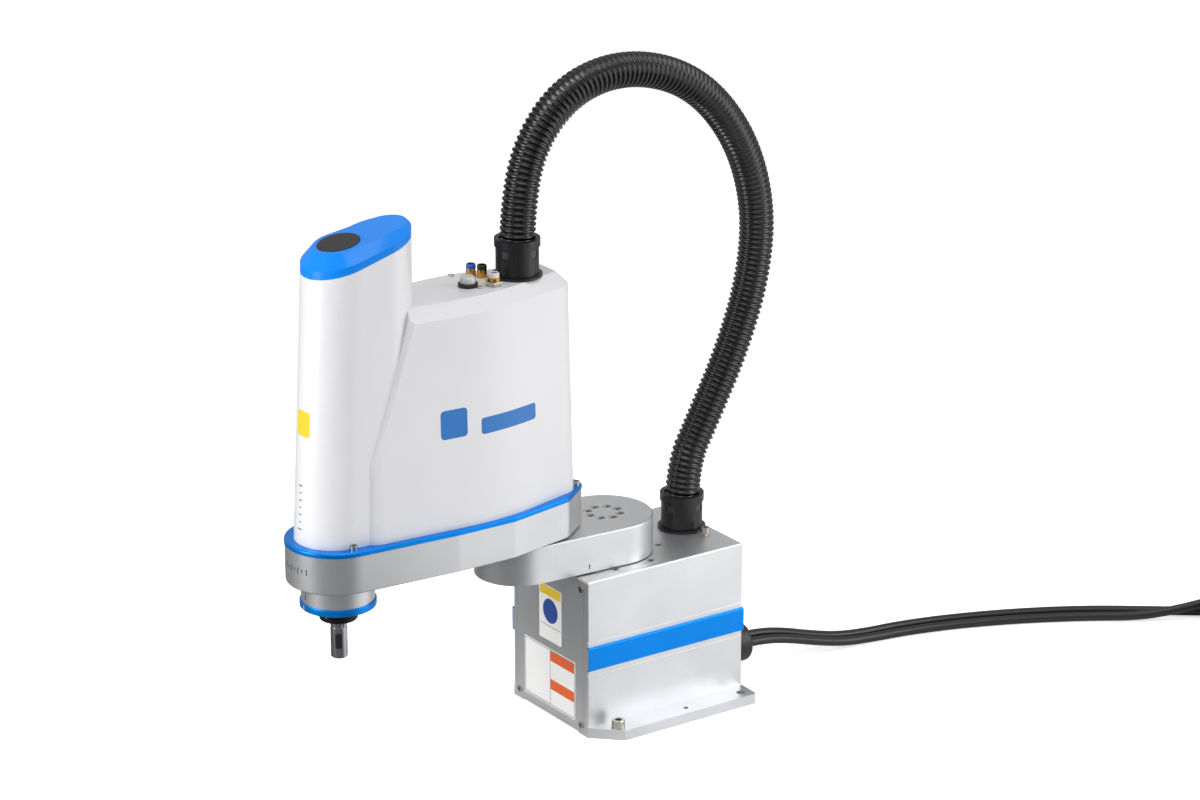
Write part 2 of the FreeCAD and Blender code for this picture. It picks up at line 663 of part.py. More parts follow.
def elbow_ring():
    height = CASTING_FLOOR + ELBOW_BOSS_HEIGHT
    return ring(ELBOW_RING_R, ELBOW_HUB_R + RUNNING, height, ELBOW_X, 0, CASTING_BOTTOM)


def elbow_reducer():
    bottom = CASTING_INSIDE + ELBOW_BOSS_HEIGHT
    return cylinder(ELBOW_REDUCER_R, TRIM_TOP - bottom, ELBOW_X, 0, bottom)


def trim_plate():
    plate = belt_solid(arm_outline(TRIM_PROUD), CASTING_TOP, TRIM_TOP)
    plate = plate.makeFillet(1.5, [e for e in plate.Edges if abs(e.CenterOfMass.z - TRIM_TOP) < 0.1])
    cuts = [
        cylinder(ELBOW_REDUCER_R + LOOSE, TRIM_THICK, ELBOW_X, 0, CASTING_TOP),
        cylinder(BEARING_R + 2, TRIM_THICK, WRIST_X, 0, CASTING_TOP),
        cylinder(MOTOR_PULLEY_R + 1, TRIM_THICK, R_MOTOR_X, 0, CASTING_TOP),
    ]
    cuts += [cylinder(TRIM_SCREW_R, TRIM_THICK, x, y, CASTING_TOP) for x, y in trim_screw_places]
    return plate.cut(cuts)


def trim_screws():
    length = TRIM_THICK + TRIM_SCREW_LENGTH
    screws = [socket_screw(TRIM_SCREW_R, length, x, y, TRIM_TOP) for x, y in trim_screw_places]
    return Part.makeCompound(screws)


# Motors, bracket, nuts, pulleys and belts
SMALL_MOTOR_LENGTH = 44.0
R_MOTOR_LENGTH = 62.0
ELBOW_MOTOR_LENGTH = 72.0
PULLEY_BOTTOM_R = CASTING_INSIDE + 5.0
PULLEY_BOTTOM_Z = BRACKET_TOP + 3.0
SHAFT_INTO_MOTOR = 14.0


def bored_motor(size, length, x, z, bore_from, bore_length):
    body = square_motor(size, length, x, 0, z)
    return body.cut(cylinder(MOTOR_SHAFT_R + RUNNING, bore_length, x, 0, bore_from))


def pulley(radius, x, z):
    core = cylinder(radius, PULLEY_WIDTH, x, 0, z)
    lower = cylinder(radius + BELT_THICK * 0.8, PULLEY_FLANGE, x, 0, z)
    upper = cylinder(radius + BELT_THICK * 0.8, PULLEY_FLANGE, x, 0, z + PULLEY_WIDTH - PULLEY_FLANGE)
    return joined([core, lower, upper])


def belt(x, z):
    inner = [(WRIST_X, 0, NUT_PULLEY_R + LOOSE), (x, 0, MOTOR_PULLEY_R + LOOSE)]
    outer = shrunk(inner, -BELT_THICK)
    bottom = z + (PULLEY_WIDTH - BELT_WIDTH) / 2
    inner = [inner[1], inner[0]]
    outer = [outer[1], outer[0]]
    return belt_solid(outer, bottom, bottom + BELT_WIDTH).cut(belt_solid(inner, bottom, bottom + BELT_WIDTH))


def groove_cutters(radius, bottom, height):
    places = on_circle(SHAFT_R, SPLINE_GROOVES, 90, WRIST_X, 0)
    return [cylinder(radius, height, x, y, bottom) for x, y in places]


SPLINE_NUT_BOTTOM = NECK_RING_BOTTOM + 2.0
SPLINE_NUT_TOP = CASTING_TOP - 1.5
BALL_NUT_BOTTOM = TRIM_TOP + 4.0
BALL_NUT_TOP = PULLEY_BOTTOM_Z + PULLEY_WIDTH + 4.0


def spline_nut():
    height = SPLINE_NUT_TOP - SPLINE_NUT_BOTTOM
    body = cylinder(NUT_R, height, WRIST_X, 0, SPLINE_NUT_BOTTOM)
    body = joined([body, pulley(NUT_PULLEY_R, WRIST_X, PULLEY_BOTTOM_R)])
    body = body.cut(cylinder(SHAFT_R + RUNNING, height, WRIST_X, 0, SPLINE_NUT_BOTTOM))
    ribs = groove_cutters(SPLINE_GROOVE_R - RUNNING, SPLINE_NUT_BOTTOM, height)
    return joined([body] + ribs)


def ball_nut():
    height = BALL_NUT_TOP - BALL_NUT_BOTTOM
    body = cylinder(NUT_R, height, WRIST_X, 0, BALL_NUT_BOTTOM)
    body = joined([body, pulley(NUT_PULLEY_R, WRIST_X, PULLEY_BOTTOM_Z)])
    return body.cut(cylinder(SHAFT_R + RUNNING, height, WRIST_X, 0, BALL_NUT_BOTTOM))


def bearing_pair(low, high):
    rings = [ring(BEARING_R, NUT_R + RUNNING, BEARING_WIDTH, WRIST_X, 0, z) for z in (low, high)]
    return Part.makeCompound(rings)


def nut_bracket():
    tower = cylinder(BRACKET_R, BRACKET_HEIGHT, WRIST_X, 0, TRIM_TOP)
    foot = cylinder(BRACKET_FOOT_R, 5.0, WRIST_X, 0, TRIM_TOP)
    body = joined([tower, foot]).cut(cylinder(BEARING_R, BRACKET_HEIGHT, WRIST_X, 0, TRIM_TOP))
    half = SMALL_MOTOR / 2
    clear = block(Z_MOTOR_X - half - 1, Z_MOTOR_X + half + 1, -half - 1, half + 1, TRIM_TOP, BRACKET_TOP)
    return body.cut(clear)


def motor_pulley(x, z, shaft_z, shaft_length):
    return joined([pulley(MOTOR_PULLEY_R, x, z), cylinder(MOTOR_SHAFT_R, shaft_length, x, 0, shaft_z)])


def spline_shaft():
    body = cylinder(SHAFT_R, SHAFT_LENGTH, WRIST_X, 0, SHAFT_BOTTOM)
    body = body.makeChamfer(0.8, body.Edges)
    body = body.cut(cylinder(SHAFT_BORE_R, SHAFT_LENGTH, WRIST_X, 0, SHAFT_BOTTOM))
    # The spline runs out in a shallow relief above the plain end that holds a tool
    relief_bottom = SHAFT_BOTTOM + TOOL_END_LENGTH
    body = body.cut(ring(SHAFT_R + 1, SHAFT_R - RELIEF_DEPTH, RELIEF_WIDTH, WRIST_X, 0, relief_bottom))
    return body.cut(groove_cutters(SPLINE_GROOVE_R, relief_bottom, SHAFT_LENGTH - TOOL_END_LENGTH))


def shaft_collar(radius, height, bottom):
    body = ring(radius, SHAFT_R, height, WRIST_X, 0, bottom)
    body = body.makeFillet(1.0, [e for e in body.Edges if abs(e.Length - 2 * math.pi * radius) < 0.1])
    slit = block(WRIST_X - 0.8, WRIST_X + 0.8, -radius, -SHAFT_R + 1, bottom, bottom + height)
    return body.cut(slit)


# Moulded cover: a leaning column joined to the body behind it, one hollow shell
COLUMN_FRONT_R = 38.0
COLUMN_REAR_R = 40.0
COLUMN_HEAD_R = 37.0
COLUMN_FRONT_AT = 2.0
COLUMN_REAR_AT = 38.0
HEAD_FRONT_AT = 11.0
HEAD_REAR_AT = 43.0
COLUMN_FOOT = [(WRIST_X + COLUMN_FRONT_AT, 0, COLUMN_FRONT_R), (WRIST_X - COLUMN_REAR_AT, 0, COLUMN_REAR_R)]
COLUMN_HEAD = [(WRIST_X - HEAD_FRONT_AT, 0, COLUMN_HEAD_R), (WRIST_X - HEAD_REAR_AT, 0, COLUMN_HEAD_R)]
BODY_SIDE_R = 240.0
BODY_HALF_WIDTH = 51.2
BODY_SIDE_AT = 129.0
BODY_CORNER_R = 20.0
BODY_FRONT_AT = 26.5
BODY_FRONT_HALF_WIDTH = 44.5
BODY_TAIL_AT = 31.0
BODY_TAIL_HALF_WIDTH = 31.0
BODY_FOOT = [
    (WRIST_X - BODY_FRONT_AT, BODY_FRONT_HALF_WIDTH - BODY_CORNER_R, BODY_CORNER_R),
    (WRIST_X - BODY_SIDE_AT, BODY_HALF_WIDTH - BODY_SIDE_R, BODY_SIDE_R),
    (ARM_TAIL + BODY_TAIL_AT, BODY_TAIL_HALF_WIDTH - BODY_CORNER_R, BODY_CORNER_R),
]
FRONT_EDGE_AT = 5.0
FRONT_EDGE_LEAN = 57.0
FRONT_EDGE_STRAIGHT = 48.0
FRONT_BEVEL = 22.0
FRONT_FLAT_HALF = 38.0
FRONT_RUNOUT = 60.0
FRONT_EDGE_X = WRIST_X - FRONT_EDGE_AT
FRONT_EDGE_TOP_X = FRONT_EDGE_X - FRONT_EDGE_LEAN
FRONT_EDGE_TURN = TRIM_TOP + FRONT_EDGE_STRAIGHT
LOFT_ABOVE = 36.0
COLUMN_LOFT_TOP = COLUMN_TOP + LOFT_ABOVE
CUTTER_REACH = 150.0


def grown_towards(first, second, share):
    return [tuple(a + (b - a) * share for a, b in zip(p, q)) for p, q in zip(first, second)]


def column_solid(inset):
    share = (COLUMN_LOFT_TOP - TRIM_TOP) / (COLUMN_TOP - TRIM_TOP)
    top = grown_towards(COLUMN_FOOT, COLUMN_HEAD, share)
    foot = [COLUMN_FOOT[1], COLUMN_FOOT[0]]
    head = [top[1], top[0]]
    wires = [belt_wire(shrunk(foot, inset), TRIM_TOP), belt_wire(shrunk(head, inset), COLUMN_LOFT_TOP)]
    return Part.makeLoft(wires, True, True)


# Everything under a plane that rises towards the tail
def below_plane(height_at_wrist, slope):
    x0, x1 = WRIST_X - CUTTER_REACH, WRIST_X + CUTTER_REACH
    z0, z1 = height_at_wrist + slope * CUTTER_REACH, height_at_wrist - slope * CUTTER_REACH
    side = [(x0, 0), (x1, 0), (x1, z1), (x0, z0), (x0, 0)]
    corners = [Vector(x, -CUTTER_REACH, z) for x, z in side]
    return Part.Face(Part.makePolygon(corners)).extrude(Vector(0, 2 * CUTTER_REACH, 0))


def rear_body_solid(inset):
    top = COVER_TOP - inset
    bevel_foot = COVER_TOP - COVER_BEVEL
    draft = (bevel_foot - TRIM_TOP) * COVER_DRAFT
    foot = mirrored_pairs(BODY_FOOT)
    wires = [belt_wire(shrunk(foot, inset), TRIM_TOP),
             belt_wire(shrunk(foot, inset + draft), bevel_foot - inset * 0.4)]
    lower = Part.makeLoft(wires, True, True)
    wires = [belt_wire(shrunk(foot, inset + draft), bevel_foot - inset * 0.4),
             belt_wire(shrunk(foot, inset * 0.6 + draft + COVER_BEVEL), top)]
    upper = Part.makeLoft(wires, True, True)
    return lower.fuse(upper).removeSplitter().common(front_profile(inset))


# Side profile with the inclined front edge, bevelled towards each side
def front_profile(inset):
    lean = (FRONT_EDGE_TOP_X - FRONT_EDGE_X) / (COVER_TOP - FRONT_EDGE_TURN)
    high = COVER_TOP + FRONT_RUNOUT

    def wire(y, back_off):
        front = FRONT_EDGE_X - inset - back_off
        turn = FRONT_EDGE_TURN - back_off * 0.3
        points = [
            Vector(0, y, TRIM_TOP - 30),
            Vector(front, y, TRIM_TOP - 30),
            Vector(front, y, turn),
            Vector(front + lean * (high - FRONT_EDGE_TURN), y, high),
            Vector(0, y, high),
        ]
        return Part.makePolygon(points + points[:1])

    flat = FRONT_FLAT_HALF
    side = flat + FRONT_BEVEL
    middle = Part.Face(wire(-flat, 0)).extrude(Vector(0, 2 * flat, 0))
    left = Part.makeLoft([wire(flat, 0), wire(side, FRONT_BEVEL)], True, True)
    right = Part.makeLoft([wire(-flat, 0), wire(-side, FRONT_BEVEL)], True, True)
    return middle.fuse([left, right]).removeSplitter()


fitting_places = {
    "blue_air_fitting": (ELBOW_X + 37.6, -18.6),
    "black_air_fitting": (ELBOW_X + 30.8, -10.2),
    "white_air_fitting": (ELBOW_X + 34.9, 16.5),
}
LAMP_PLACE = (ELBOW_X + 56.4, 5.4)
FITTING_THREAD_R = 4.0
LAMP_THREAD_R = 6.0
COVER_SCREW_R = 1.5
cover_screw_places = [(ELBOW_X + 50.5, 16.8), (ELBOW_X + 52.9, -29.2)]


def arm_cover():
    column_top = below_plane(COLUMN_TOP, COLUMN_SLOPE)
    outer = column_solid(0).common(column_top).fuse(rear_body_solid(0)).removeSplitter()
    inner = column_solid(COVER_WALL).fuse(rear_body_solid(COVER_WALL))
    cuts = [inner, cylinder(WIRE_HOLE_R, 20, ELBOW_X, ARM_GLAND_Y, COVER_TOP - 10)]
    for x, y in fitting_places.values():
        cuts.append(cylinder(FITTING_THREAD_R, 20, x, y, COVER_TOP - 10))
    cuts.append(cylinder(LAMP_THREAD_R, 20, LAMP_PLACE[0], LAMP_PLACE[1], COVER_TOP - 10))
    for x, y in cover_screw_places:
        cuts.append(cylinder(COVER_SCREW_R, 20, x, y, COVER_TOP - 10))
    # Notches in the foot, where the heads of the trim screws stand
    for x, y in trim_screw_places:
        cuts.append(cylinder(TRIM_HEAD_R + LOOSE, TRIM_HEAD_HEIGHT + LOOSE, x, y, TRIM_TOP))
    return outer.cut(cuts)


CAP_FACE = [(WRIST_X - 57, 0, 21.4), (WRIST_X - 10.5, 0, 25.6)]
CAP_WALL = 2.2


def cap_face_height(x):
    return CAP_FACE_TOP + CAP_FACE_SLOPE * (WRIST_X - x)


# The outline where a leaning plane cuts a solid
def cut_wire(solid, height_at_wrist, slope):
    piece = solid.common(below_plane(height_at_wrist, slope))
    top = max(piece.Faces, key=lambda face: face.CenterOfMass.z)
    return top.OuterWire


def column_cap():
    column = column_solid(0)
    band = column.common(below_plane(COLUMN_TOP + CAP_BAND, COLUMN_SLOPE))
    band = band.cut(below_plane(COLUMN_TOP, COLUMN_SLOPE))
    low = cut_wire(column, COLUMN_TOP + CAP_BAND, COLUMN_SLOPE)
    high = cut_wire(belt_solid(CAP_FACE, TRIM_TOP, COLUMN_TOP + CUTTER_REACH), CAP_FACE_TOP, CAP_FACE_SLOPE)
    bevel = Part.makeLoft([low, high], True, True)
    if bevel.Volume < 0:
        bevel.reverse()
    hollow = column_solid(COVER_WALL).common(below_plane(COLUMN_TOP + CAP_BAND - CAP_WALL, COLUMN_SLOPE))
    recess = plug_solid(PLUG_R + 0.2, -3.0, 5.0)
    return joined([band, bevel]).cut([hollow, recess])


def plug_solid(radius, bottom, top):
    normal = Vector(CAP_FACE_SLOPE, 0, 1).normalize()
    centre = Vector(PLUG_X, 0, cap_face_height(PLUG_X)) + normal * bottom
    return Part.makeCylinder(radius, top - bottom, centre, normal)


def cap_plug():
    plug = plug_solid(PLUG_R, -3.0, PLUG_PROUD)
    rim = [e for e in plug.Edges if abs(e.Length - 2 * math.pi * PLUG_R) < 0.1]
    top_rim = max(rim, key=lambda edge: edge.CenterOfMass.z)
    return plug.makeFillet(0.5, [top_rim])


# Small fittings on the cover's top
def hexagon(across_flats, height, x, y, z):
    corner = across_flats / math.sqrt(3)
    points = [Vector(px, py, z) for px, py in on_circle(corner, 6, 0, x, y)]
    return Part.Face(Part.makePolygon(points + points[:1])).extrude(Vector(0, 0, height))


FITTING_FLATS = 9.2
FITTING_HEX = 5.0
FITTING_COLLAR_R = 4.4
FITTING_COLLAR = 7.0
TUBE_BORE_R = 3.0
TUBE_BORE_DEPTH = 9.0


def air_fitting(place):
    x, y = place
    stem = cylinder(FITTING_THREAD_R, 10, x, y, COVER_TOP - 10)
    body = hexagon(FITTING_FLATS, FITTING_HEX, x, y, COVER_TOP)
    neck = cylinder(FITTING_COLLAR_R, 3.5, x, y, COVER_TOP + FITTING_HEX)
    collar = cylinder(FITTING_COLLAR_R, FITTING_COLLAR, x, y, COVER_TOP + FITTING_HEX)
    top = COVER_TOP + FITTING_HEX + FITTING_COLLAR
    bore = cylinder(TUBE_BORE_R, TUBE_BORE_DEPTH, x, y, top - TUBE_BORE_DEPTH)
    through = cylinder(TUBE_BORE_R - 1, 30, x, y, COVER_TOP - 10)
    return joined([stem, body, neck, collar]).cut([bore, through])


LAMP_RING_R = 9.3
LAMP_RING_HEIGHT = 4.0
LAMP_LENS_R = 7.6
LAMP_LENS_HEIGHT = 6.0


def lamp_base():
    x, y = LAMP_PLACE
    stem = cylinder(LAMP_THREAD_R, 10, x, y, COVER_TOP - 10)
    collar = cylinder(LAMP_RING_R, LAMP_RING_HEIGHT, x, y, COVER_TOP)
    collar = collar.makeChamfer(0.6, [e for e in collar.Edges if e.CenterOfMass.z > COVER_TOP + 1])
    return joined([stem, collar])


def lamp_lens():
    x, y = LAMP_PLACE
    lens = cylinder(LAMP_LENS_R, LAMP_LENS_HEIGHT, x, y, COVER_TOP + LAMP_RING_HEIGHT)
    crown = [e for e in lens.Edges if e.CenterOfMass.z > COVER_TOP + LAMP_RING_HEIGHT + 4]
    return lens.makeFillet(3.5, crown)


def pan_screw(radius, length, x, y, z):
    head = cylinder(radius * 1.9, radius * 1.2, x, y, z)
    head = head.makeFillet(radius * 0.6, [e for e in head.Edges if e.CenterOfMass.z > z + radius])
    return joined([head, cylinder(radius, length, x, y, z - length)])


# Conduit loop and cables: each route is a list of points chosen by hand
CONDUIT_LOWER = [
    (-62, -6.8, 178), (-62, -6.8, 224), (-88, -6.2, 272), (-121, -5.4, 336), (-145, -4.6, 408),
    (-149, -4, 480), (-124, -4, 554), (-70, -4, 614), (-32.5, -4, 627),
]
CONDUIT_UPPER = [
    (-32.5, -4, 627), (5, -4, 640), (74, -3, 628), (119, -1, 582), (136, 3, 520), (136, 3, 476.5),
]
POWER_CABLE = [
    (-119, 14, 36.5), (-142, 14, 35.5), (-172, 14, 29), (-206, 14.5, 18), (-240, 15.5, 8.6),
    (-275, 18, 4.9), (-316, 23, 4.8), (-370, 38, 4.8), (-437, 65, 4.8), (-500, 99, 4.8),
    (-556, 140, 4.8), (-612, 182, 4.8), (-661.2, 216, 4.8),
]
SIGNAL_CABLE = [
    (-119, 26, 33.5), (-142, 26, 32.5), (-172, 26.5, 26), (-206, 27.5, 15.5), (-240, 29.5, 7),
    (-275, 33, 4.8), (-316, 40, 4.8), (-368, 55, 4.8), (-430, 81, 4.8), (-490, 114, 4.8),
    (-536, 147, 5.5), (-570, 168, 12.5), (-600, 183, 20), (-630, 197, 24), (-661.2, 216, 24.1),
]


def cable_coil(level):
    half_band = COIL_TURNS_WIDE * CABLE_R
    height = COIL_TURNS_HIGH * 2 * CABLE_R
    x, y = COIL_CENTRE
    return ring(COIL_MEAN_R + half_band, COIL_MEAN_R - half_band, height, x, y, level * height)


# Cable ends: a round shell with a latch ring and a cable clamp behind it
def cable_connector(shell_r, length, start, direction):
    shell = Part.makeCylinder(shell_r, length * 0.6, start, direction)
    nut = Part.makeCylinder(shell_r * 0.85, length * 0.4, start + direction * (length * 0.6), direction)
    contact_cavity = Part.makeCylinder(shell_r * 0.75, length * 0.2, start, direction)
    contact_start = start + direction * (length * 0.05)
    contacts = Part.makeCylinder(shell_r * 0.55, length * 0.15, contact_start, direction)
    return joined([shell, nut]).cut(contact_cavity.cut(contacts))


POWER_CONNECTOR_R = 11.0
SIGNAL_CONNECTOR_R = 9.0
CONNECTOR_LENGTH = 48.0

# Write every piece
write("base_housing", base_housing())
front_cover, front_screws = panel_with_screws(BASE_FRONT, 1)
rear_cover, rear_screws = panel_with_screws(BASE_BACK, -1)
rear_cover = rear_cover.cut(cylinder(GLAND_THREAD_R, PANEL_THICK, BASE_BACK, CABLE_GLAND_Y, CABLE_GLAND_Z,
                                     Vector(1, 0, 0)))
write("base_front_cover", front_cover)
write("base_front_screws", front_screws)
write("base_rear_cover", rear_cover)
write("base_rear_screws", rear_screws)
strip_rails = []
for strip_name, strip_side in (("left", 1), ("right", -1)):
    strip_skin, strip_rail = side_strip(strip_side)
    write("side_strip_" + strip_name, strip_skin)
    strip_rails.append(strip_rail)
write("strip_rails", Part.makeCompound(strip_rails))
write("shoulder_bearing_ring", shoulder_ring())
write("shoulder_ring_screws", Part.makeCompound(
    [socket_screw(RING_SCREW_R, RING_SCREW_LENGTH, x, y, BASE_HEIGHT - RING_SCREW_SINK)
     for x, y in ring_screw_places]))
write("shoulder_reducer", shoulder_reducer())
write("shoulder_motor", shoulder_motor())
write("base_conduit_gland", conduit_gland(BASE_GLAND_X, BASE_GLAND_Y, BASE_HEIGHT, BASE_TOP_WALL))
gland_shell, gland_plug = cable_gland()
write("rear_cable_gland", gland_shell)
write("gland_seal", gland_plug)
write("ground_screw", socket_screw(GROUND_SCREW_R, GROUND_SCREW_LENGTH, GROUND_SCREW[0], GROUND_SCREW[1],
                                   BASE_HEIGHT + GROUND_SCREW_STANDOFF))
write("conduit_lower", tube(CONDUIT_LOWER, CONDUIT_R, "conduit_lower"))
write("conduit_upper", tube(CONDUIT_UPPER, CONDUIT_R, "conduit_upper"))
write("power_cable", tube(POWER_CABLE, CABLE_R, "power_cable"))
write("signal_cable", tube(SIGNAL_CABLE, CABLE_R, "signal_cable"))
write("power_cable_coil", cable_coil(0))
write("signal_cable_coil", cable_coil(1))
coil_top = 2 * COIL_TURNS_HIGH * 2 * CABLE_R
coil_outer = COIL_MEAN_R + COIL_TURNS_WIDE * CABLE_R
write("power_connector", cable_connector(
    POWER_CONNECTOR_R, CONNECTOR_LENGTH,
    Vector(COIL_CENTRE[0] - CONNECTOR_LENGTH / 2, COIL_CENTRE[1] + coil_outer + POWER_CONNECTOR_R + LOOSE,
           POWER_CONNECTOR_R), Vector(1, 0, 0)))
write("signal_connector", cable_connector(
    SIGNAL_CONNECTOR_R, CONNECTOR_LENGTH,
    Vector(COIL_CENTRE[0] - coil_outer + 10, COIL_CENTRE[1], coil_top + SIGNAL_CONNECTOR_R), Vector(1, 0, 0)))

write("inner_arm", inner_arm())
write("shoulder_hub", shoulder_hub())
write("inner_arm_screws", arm_screws())
write("elbow_hub", elbow_hub())

write("outer_arm_casting", outer_casting())
write("arm_trim_plate", trim_plate())
write("trim_screws", trim_screws())
write("neck_ring", neck_ring())
write("neck_ring_screws", neck_screws())
write("elbow_bearing_ring", elbow_ring())
write("elbow_reducer", elbow_reducer())
write("elbow_motor", square_motor(LARGE_MOTOR, ELBOW_MOTOR_LENGTH, ELBOW_X, 0, TRIM_TOP))
write("spline_nut_bearings", bearing_pair(NECK_BOTTOM, CASTING_INSIDE - BEARING_WIDTH))
write("ball_nut_bearings", bearing_pair(TRIM_TOP + 6, BRACKET_TOP - BEARING_WIDTH))
write("ball_nut_bracket", nut_bracket())
write("lift_motor", bored_motor(SMALL_MOTOR, SMALL_MOTOR_LENGTH, Z_MOTOR_X, TRIM_TOP,
                                TRIM_TOP + SMALL_MOTOR_LENGTH - SHAFT_INTO_MOTOR, SHAFT_INTO_MOTOR))
write("rotation_motor", bored_motor(SMALL_MOTOR, R_MOTOR_LENGTH, R_MOTOR_X, TRIM_TOP,
                                    TRIM_TOP, SHAFT_INTO_MOTOR))
write("lift_belt", belt(Z_MOTOR_X, PULLEY_BOTTOM_Z))
write("rotation_belt", belt(R_MOTOR_X, PULLEY_BOTTOM_R))
write("arm_cover", arm_cover())
write("column_cap", column_cap())
write("column_cap_plug", cap_plug())
for fitting_name, fitting_place in fitting_places.items():
    write(fitting_name, air_fitting(fitting_place))
write("status_lamp_base", lamp_base())
write("status_lamp_lens", lamp_lens())
cover_screws = [pan_screw(COVER_SCREW_R, 8, x, y, COVER_TOP) for x, y in cover_screw_places]
write("cover_screws", Part.makeCompound(cover_screws))
write("arm_conduit_gland", conduit_gland(ELBOW_X, ARM_GLAND_Y, COVER_TOP, COVER_WALL))

write("spline_nut", spline_nut())
write("ball_nut", ball_nut())
lift_pulley_shaft = TRIM_TOP + SMALL_MOTOR_LENGTH - SHAFT_INTO_MOTOR + LOOSE
write("lift_motor_pulley", motor_pulley(Z_MOTOR_X, PULLEY_BOTTOM_Z, lift_pulley_shaft,
                                        PULLEY_BOTTOM_Z - lift_pulley_shaft))
rotation_pulley_shaft = PULLEY_BOTTOM_R + PULLEY_WIDTH
write("rotation_motor_pulley", motor_pulley(R_MOTOR_X, PULLEY_BOTTOM_R, rotation_pulley_shaft,
                                            TRIM_TOP + SHAFT_INTO_MOTOR - LOOSE - rotation_pulley_shaft))

write("spline_shaft", spline_shaft())
write("stop_collar", shaft_collar(COLLAR_R, COLLAR_HEIGHT, COLLAR_TOP - COLLAR_HEIGHT))
write("shaft_top_collar", shaft_collar(TOP_COLLAR_R, TOP_COLLAR_HEIGHT,
                                       SHAFT_BOTTOM + SHAFT_LENGTH - TOP_COLLAR_HEIGHT - 2))
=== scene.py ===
# %% [markdown]
# A four-axis table robot, dressed for its portrait. Every rigid piece of it already stands in a CAD
# frame, at its real size and on its real joint. It could be built again in Blender by eye, but a second
# copy soon drifts from the first. So the frame is loaded as it is, and this script adds only what CAD
# leaves plain: finishes that catch the light, a ribbed hose, cables that lie as cables do, coloured
# rings and marks. Sizes on the robot are written in millimetres and multiplied by MM, because Blender
# counts in metres. The studio round it is written in metres.

# %% Open the frame
import json
import math

import bpy
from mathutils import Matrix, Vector
from mathutils.bvhtree import BVHTree


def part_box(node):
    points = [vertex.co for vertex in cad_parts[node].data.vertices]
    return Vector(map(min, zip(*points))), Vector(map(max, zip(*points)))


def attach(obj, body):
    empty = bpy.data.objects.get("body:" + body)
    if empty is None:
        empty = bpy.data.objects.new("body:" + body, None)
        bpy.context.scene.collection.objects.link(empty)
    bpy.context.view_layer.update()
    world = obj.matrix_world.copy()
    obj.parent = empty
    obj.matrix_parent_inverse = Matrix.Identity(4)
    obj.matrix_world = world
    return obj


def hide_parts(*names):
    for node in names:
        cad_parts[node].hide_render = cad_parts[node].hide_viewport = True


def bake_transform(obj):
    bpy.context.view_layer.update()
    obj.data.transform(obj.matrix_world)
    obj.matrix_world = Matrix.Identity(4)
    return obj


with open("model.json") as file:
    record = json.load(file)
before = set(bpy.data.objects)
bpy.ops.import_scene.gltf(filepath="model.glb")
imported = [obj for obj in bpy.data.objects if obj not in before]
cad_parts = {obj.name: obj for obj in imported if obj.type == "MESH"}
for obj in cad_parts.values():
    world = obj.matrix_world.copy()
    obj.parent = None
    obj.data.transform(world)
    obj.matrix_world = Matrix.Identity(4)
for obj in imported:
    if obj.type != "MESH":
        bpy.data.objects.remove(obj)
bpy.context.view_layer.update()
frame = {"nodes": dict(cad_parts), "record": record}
nodes = frame["nodes"]
MM = 0.001

# %% [markdown]
# The picture looks at the robot from its front left and from a little above. A short lens from close by
# would make the tall column lean, and a flat projection would take away all depth. A long lens from 3.8
# metres keeps the upright edges nearly parallel and still shows what is nearer. The camera gets an aim,
# two angles and a distance, which are easier to change by hand than a place and three rotations.

# %% Camera
AIM = Vector((40.9, 0.8, 315.5)) * MM
AZIMUTH = math.radians(145.4)
ELEVATION = math.radians(19.5)
DISTANCE = 3830 * MM
LENS = 120.0
FILM_WIDTH = 36.0
FARTHEST = 50.0

away = Vector((math.sin(AZIMUTH) * math.cos(ELEVATION), -math.cos(AZIMUTH) * math.cos(ELEVATION),
               math.sin(ELEVATION)))
camera_data = bpy.data.cameras.new("portrait_camera")
camera_data.lens = LENS
camera_data.sensor_width = FILM_WIDTH
camera_data.clip_end = FARTHEST
camera = bpy.data.objects.new("portrait_camera", camera_data)
bpy.context.scene.collection.objects.link(camera)
camera.location = AIM + away * DISTANCE
camera.rotation_euler = away.to_track_quat("Z", "Y").to_euler()
bpy.context.scene.camera = camera
print("camera at", [round(v, 3) for v in camera.location])

# %% [markdown]
# A finish starts from a colour. Colour charts write it as a web code, in the uneven steps of a screen,
# and Blender adds up light in even steps. The codes could be converted one by one in a paint program. A
# helper with the screen's own curve does the same and leaves the readable code in the script.

# %% Colours from web codes
def colour(code):
    """Linear colour of a web code such as 'ff8000'."""
    def linear(value):
        value /= 255
        return value / 12.92 if value <= 0.04045 else ((value + 0.055) / 1.055) ** 2.4
    return tuple(linear(int(code[i:i + 2], 16)) for i in (0, 2, 4))


print("the cover's white, e9e9ec, is", [round(v, 3) for v in colour("e9e9ec")])

# %% [markdown]
# No real surface has one even colour or one even gloss: blasting leaves pits, and moulded plastic has a
# faint texture of its tool. A picture of each surface could be wrapped round the pieces, but it would
# have to be unwrapped and would stretch at the curves. Noise in the object's own space needs no
# unwrapping. Slow clouds shift the colour a little, and one fine grain breaks up the gloss and raises a
# small bump. The size of the grain is given in grains per metre.

# %% Colour and grain of a finish
CLOUD_SCALE = 14.0
CLOUD_EDGES = (0.35, 0.65)
ROUGH_SPREAD = 0.08
BUMP_DISTANCE = 0.4 * MM


def add_node(tree, kind, **values):
    """A new shader node with values on its inputs. A low dash in a name stands for a space."""
    node = tree.nodes.new("ShaderNode" + kind)
    for socket, value in values.items():
        node.inputs[socket.replace("_", " ")].default_value = value
    return node


